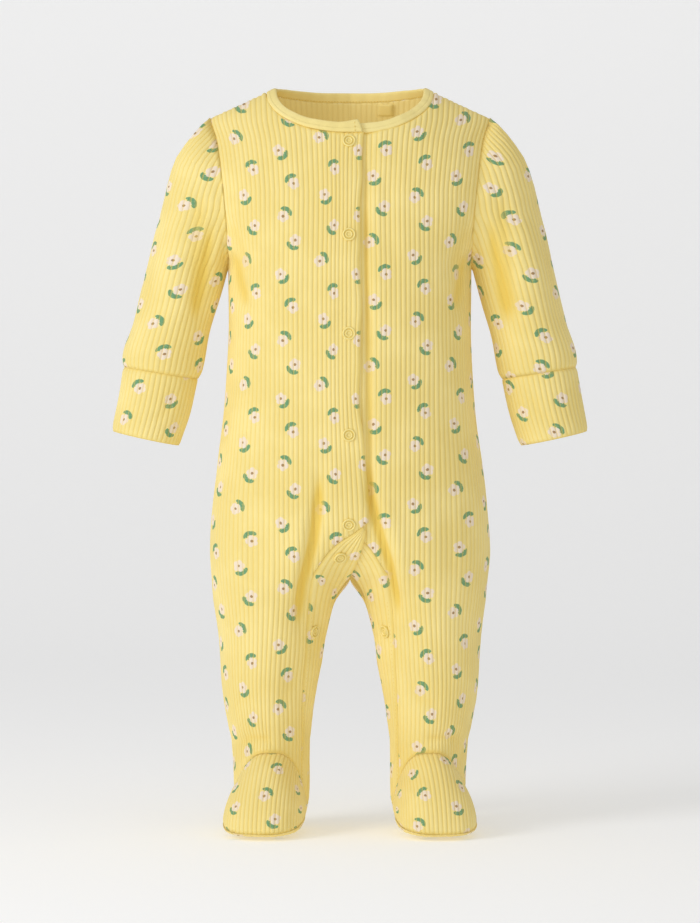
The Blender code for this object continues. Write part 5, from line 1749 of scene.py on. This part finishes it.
def print_group(sprig):
    """The whole repeat of sprigs, from a place on the cloth in metres."""
    tree, given, made = new_group(
        "small_flower_print", (("Place", VECTOR), ("Cloth", COLOUR)), (("Colour", COLOUR),)
    )
    calc = partial(maths, tree)
    wobble = vectors(tree, "SUBTRACT", noise(tree, given["Place"], 520.0, 2.0, 1), (0.5, 0.5, 0.5))
    bent = vectors(tree, "MULTIPLY", wobble, (0.9, 0.9, 0.0))
    scale = {0: given["Place"], "Scale": 1 / MM}
    place = vectors(tree, "ADD", add(tree, "ShaderNodeVectorMath", scale, operation="SCALE"), bent)
    masks = []
    for across, down, turn in SPRIGS["rows"]:
        inputs = {"Place": place, "Across": across, "Down": -down, "Turn": math.radians(turn)}
        masks.append(group_node(tree, sprig, inputs))
    petals, heart, leaf = [
        reduce(partial(calc, "MAXIMUM"), [mask[part] for mask in masks]) for part in range(3)
    ]
    mottle = soft_step(tree, noise(tree, given["Place"], 900.0, 1.0), 0.25, 0.5)
    amount = calc("MULTIPLY_ADD", calc("MULTIPLY", leaf, mottle), 0.25, calc("MULTIPLY", leaf, 0.72))
    colour = blend_colour(tree, amount, given["Cloth"], SHADES["leaf"])
    colour = blend_colour(tree, calc("MULTIPLY", petals, 0.93), colour, SHADES["petal"])
    colour = blend_colour(tree, calc("MULTIPLY", heart, 0.85), colour, SHADES["heart"])
    tree.links.new(colour, made["Colour"])
    return tree


def knit_group():
    """Height of the knit's fine loops and fuzz, from a place on the cloth in metres."""
    tree, given, made = new_group("fine_knit", (("Place", VECTOR),), (("Height", NUMBER),))
    stretched = vectors(tree, "MULTIPLY", given["Place"], (1250.0, 800.0, 1.0))
    loops = add(tree, "ShaderNodeTexVoronoi", {"Vector": stretched, "Scale": 1.0, "Randomness": 0.35})
    fuzz = maths(tree, "MULTIPLY", noise(tree, given["Place"], 2600.0, 3.0), 0.6)
    tree.links.new(maths(tree, "MULTIPLY_ADD", loops, -0.7, fuzz), made["Height"])
    return tree


def base_material(name, colour, roughness):
    material = bpy.data.materials.new(name)
    material.use_nodes = True
    shader = material.node_tree.nodes["Principled BSDF"]
    shader.inputs["Base Color"].default_value = (*colour, 1)
    shader.inputs["Roughness"].default_value = roughness
    material.diffuse_color = (*colour, 1)
    return material, material.node_tree, shader


def scaled(colour, parts):
    return tuple(value * part for value, part in zip(colour, parts))


def tone(tree, place, colour):
    """A cloth colour with slow, faint unevenness."""
    slow = soft_step(tree, noise(tree, place, 26.0, 2.0), 0.35, 0.7)
    return blend_colour(tree, slow, scaled(colour, (0.94, 0.92, 0.84)), colour)


def finish(tree, shader, values):
    for label, value in values.items():
        feed(tree, shader.inputs[label], value)


def knitted(tree, shader, colour, height, glow, strength):
    """Colour, fine relief, sheen, and a faint painted glow that stands in for light passing through and
    bouncing inside thin cloth.
    """
    relief = {"Strength": 0.35, "Distance": 0.00025, "Height": height}
    finish(tree, shader, {
        "Base Color": colour,
        "Normal": add(tree, "ShaderNodeBump", relief),
        "Emission Color": (*SHADES[glow], 1),
        "Emission Strength": strength,
        "Sheen Weight": 0.12,
        "Sheen Roughness": 0.5,
        "Specular IOR Level": 0.25,
    })


def printed_cloth(prints, knit):
    material, tree, shader = base_material("butter_rib_print", SHADES["cloth"], 0.84)
    place = add(tree, "ShaderNodeUVMap", uv_map="UVMap")
    ribs = add(tree, "ShaderNodeAttribute", out="Fac", attribute_name="rib_height")
    folds = add(tree, "ShaderNodeAttribute", out="Fac", attribute_name="fold_height")
    cloth = tone(tree, place, SHADES["cloth"])
    printed = group_node(tree, prints, {"Place": place, "Cloth": cloth})["Colour"]
    # Painted shade: the rib grooves and the fold troughs are darkened towards the groove colour.
    groove_shade_mask = maths(tree, "MULTIPLY", soft_step(tree, ribs, 0.7, 0.05), 0.42)
    fold_shade_mask = maths(tree, "MULTIPLY", soft_step(tree, folds, -0.5, -3.3), 0.8)
    deep = maths(tree, "MAXIMUM", groove_shade_mask, fold_shade_mask)
    colour = blend_colour(tree, deep, printed, SHADES["groove"])
    height = group_node(tree, knit, {"Place": place})["Height"]
    knitted(tree, shader, colour, height, "glow", 0.08)
    return material


def plain_cloth(name, colour, knit, ribbed):
    """Unprinted cloth: the inside of the knit, with its ribs in low relief and painted shade in their
    grooves, or the binding.
    """
    material, tree, shader = base_material(name, colour, 0.86)
    place = add(tree, "ShaderNodeUVMap", uv_map="UVMap")
    cloth = tone(tree, place, colour)
    height = group_node(tree, knit, {"Place": place})["Height"]
    if ribbed:
        across = add(tree, "ShaderNodeSeparateXYZ", {0: place})
        turns = maths(tree, "MULTIPLY", across, math.pi / (RIB_PITCH * MM))
        groove = maths(tree, "POWER", maths(tree, "ABSOLUTE", maths(tree, "COSINE", turns)), 5.0)
        height = maths(tree, "MULTIPLY_ADD", groove, -3.0, height)
        # Painted shade: the inside's rib grooves are darkened.
        groove_shade_colour = scaled(colour, (0.86, 0.80, 0.62))
        cloth = blend_colour(tree, maths(tree, "MULTIPLY", groove, 0.7), cloth, groove_shade_colour)
    knitted(tree, shader, cloth, height, "painted_inner_glow", 0.17 if ribbed else 0.08)
    return material


def snap_enamel():
    material, tree, shader = base_material("snap_enamel", SHADES["snap"], 0.34)
    worn = noise(tree, add(tree, "ShaderNodeTexCoord", out="Object"), 700.0, 3.0)
    paler = tuple(min(value * 1.05, 1.0) for value in SHADES["snap"])
    enamel = blend_colour(tree, worn, SHADES["snap"], paler)
    # Painted shade in the cap's sunk rings and at the foot of its rim.
    painted_ring_shade = add(tree, "ShaderNodeAttribute", out="Fac", attribute_name="painted_ring_shade")
    painted_ring_shade = maths(tree, "MULTIPLY", painted_ring_shade, 0.6)
    finish(tree, shader, {
        "Base Color": blend_colour(tree, painted_ring_shade, enamel, SHADES["groove"]),
        "Roughness": maths(tree, "MULTIPLY_ADD", worn, 0.16, 0.27),
        "Coat Weight": 0.25,
        "Coat Roughness": 0.2,
    })
    return material


def sewing_thread():
    material, tree, shader = base_material("sewing_thread", SHADES["thread"], 0.7)
    place = add(tree, "ShaderNodeTexCoord", out="Object")
    twist = add(tree, "ShaderNodeTexWave", {"Vector": place, "Scale": 1800.0, "Distortion": 2.0})
    relief = {"Strength": 0.3, "Distance": 0.0001, "Height": twist}
    amount = maths(tree, "MULTIPLY", twist, 0.3)
    finish(tree, shader, {
        "Base Color": blend_colour(tree, amount, SHADES["thread"], SHADES["groove"]),
        "Normal": add(tree, "ShaderNodeBump", relief),
    })
    return material


# The suit

knit = knit_group()
prints = print_group(sprig_group())
rib_cloth = printed_cloth(prints, knit)
rib_inside = plain_cloth("rib_inside", SHADES["inside"], knit, True)
binding_cloth = plain_cloth("binding_cloth", SHADES["binding"], knit, False)
thread = sewing_thread()
enamel = snap_enamel()
cloth_pair = (rib_cloth, rib_inside)

built = {}


def sew(node, grids, merge=False):
    piece = cloth_piece("cloth_" + node, grids, cloth_pair, merge)
    dress(piece, node, grids)
    built[node] = grids


for side, hand in ((1, "left"), (-1, "right")):
    over = side < 0
    offset = 0.0 if over else 23.0
    sew("front_" + hand, [front_grid(side, over, (offset, 0.6 * offset))])
    sew("leg_band_" + hand, [band_grid(side, over, (31 + offset, 12 - offset))])
    sew("sleeve_" + hand, [sleeve_grid(side, (11 - offset, 37 + offset))], merge=True)
    sew("cuff_" + hand, [cuff_grid(side, (offset - 8, 21 + offset))], merge=True)
    sew("foot_top_" + hand, [vamp_grid(side, (7 + offset, 52 - offset))])
    sew("sole_" + hand, [sole_grid(side, (3 + offset, 9))])
sew("back", [back_grid(1, (9, 40)), back_grid(-1, (9, 40))], merge=True)
sew("leg_band_back", [under_band_grid(1, (5, 60)), under_band_grid(-1, (5, 60))], merge=True)

binding = neck_binding(binding_cloth)
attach(binding, "root")
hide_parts("neck_binding")

loop = loop_grid((0, 0))
loop_piece = cloth_piece("cloth_hanger_loop", [loop], (binding_cloth, binding_cloth))
dress(loop_piece, "hanger_loop", [loop])

for number, (side, x, z, over) in enumerate(SNAPS["rows"], 1):
    snap_cap(number, side, x, z, over, enamel)


# Stitches along the seams


def neck_line(start, end, rise, out):
    line = []
    for share in shares(150):
        turn = mix(start, end, share)
        base, up, outwards = neck_frame(turn)
        line.append(base + up * (rise * BINDING_WIDE) + outwards * (out + binding_level(turn)))
    return line


inside_neck = neck_line(math.radians(-70), math.radians(-290), 0.16, -1.95)
base, up, outwards = neck_frame(math.radians(3.4))
tack = [base + up * (BINDING_WIDE * k / 10) + outwards * (binding_level(0.0) + 1.1) for k in range(1, 10)]
band_lines = []
for hand in ("left", "right"):
    beside_seam = built["leg_band_" + hand][0]["outer"][30:, 3]
    band_lines.append([tuple(p) for p in beside_seam if not math.isnan(p[0])])
tree = stitch_tree(thread)
stitch_lines("neck_stitches", [inside_neck, tack], tree, *NECK_STITCH)
stitch_lines("leg_band_stitches", band_lines, tree, *BAND_STITCH)


# Studio


LIGHTS = {
    "columns": ("name", "place", "size", "power"),
    "rows": (
        ("window_left", (-1.65, -1.35, 0.5), (0.9, 1.3), 18.5),
        ("front_fill", (-0.3, -2.5, 0.2), (1.6, 1.6), 5.5),
        ("top_soft", (0.0, -0.3, 1.5), (1.4, 1.2), 2.5),
    ),
}
LIT_PLACE = Vector((0, 0, -0.26))
FLOOR = -0.5475           # just under the soles
SWEEP_FRONT, SWEEP_BACK, SWEEP_HALF = -2.6, 1.6, 3.5
SWEEP_ROUND = 0.9
SWEEP_TOP = 0.42          # low, so that a view from behind passes over it
DISTANCE = 3.0
DOWN = math.radians(2.0)
SENSOR = 36.0
VIEW_TALL = 0.683
VIEW_MIDDLE = -0.2745


def area_light(name, place, size, power):
    data = bpy.data.lights.new(name, "AREA")
    data.shape = "RECTANGLE"
    data.size, data.size_y = size
    data.energy = power
    light = linked(name, data)
    light.location = place
    light.rotation_euler = (LIT_PLACE - Vector(place)).to_track_quat("-Z", "Y").to_euler()


def studio():
    """A paper sweep, soft light all round, and three lamps."""
    material, tree, shader = base_material("studio_paper", SHADES["studio"], 0.95)
    white = (1, 1, 1, 1)
    glow = {"Specular IOR Level": 0.0, "Emission Color": white, "Emission Strength": 0.28}
    finish(tree, shader, glow)
    profile = [(SWEEP_FRONT, FLOOR)]
    for share in shares(12):
        turn = math.pi / 2 * share
        y = SWEEP_BACK + SWEEP_ROUND * math.sin(turn)
        profile.append((y, FLOOR + SWEEP_ROUND * (1 - math.cos(turn))))
    profile.append((SWEEP_BACK + SWEEP_ROUND, SWEEP_TOP))
    vertices = [(x, y, z) for y, z in profile for x in (-SWEEP_HALF, SWEEP_HALF)]
    faces = [(2 * k, 2 * k + 1, 2 * k + 3, 2 * k + 2) for k in range(len(profile) - 1)]
    sweep = shell_object("studio_sweep", vertices, faces, material)
    world = bpy.data.worlds.new("studio_light")
    bpy.context.scene.world = world
    world.use_nodes = True
    finish(world.node_tree, world.node_tree.nodes["Background"], {"Color": white, "Strength": 0.47})
    for light in LIGHTS["rows"]:
        area_light(*light)
    bpy.context.scene.view_settings.view_transform = "Standard"


studio()

lens = bpy.data.cameras.new("camera")
lens.lens = SENSOR * DISTANCE / VIEW_TALL
camera = linked("camera", lens)
camera.location = (0, -DISTANCE * math.cos(DOWN), VIEW_MIDDLE + DISTANCE * math.sin(DOWN))
camera.rotation_euler = (math.pi / 2 - DOWN, 0, 0)
bpy.context.scene.camera = camera

bpy.context.view_layer.update()
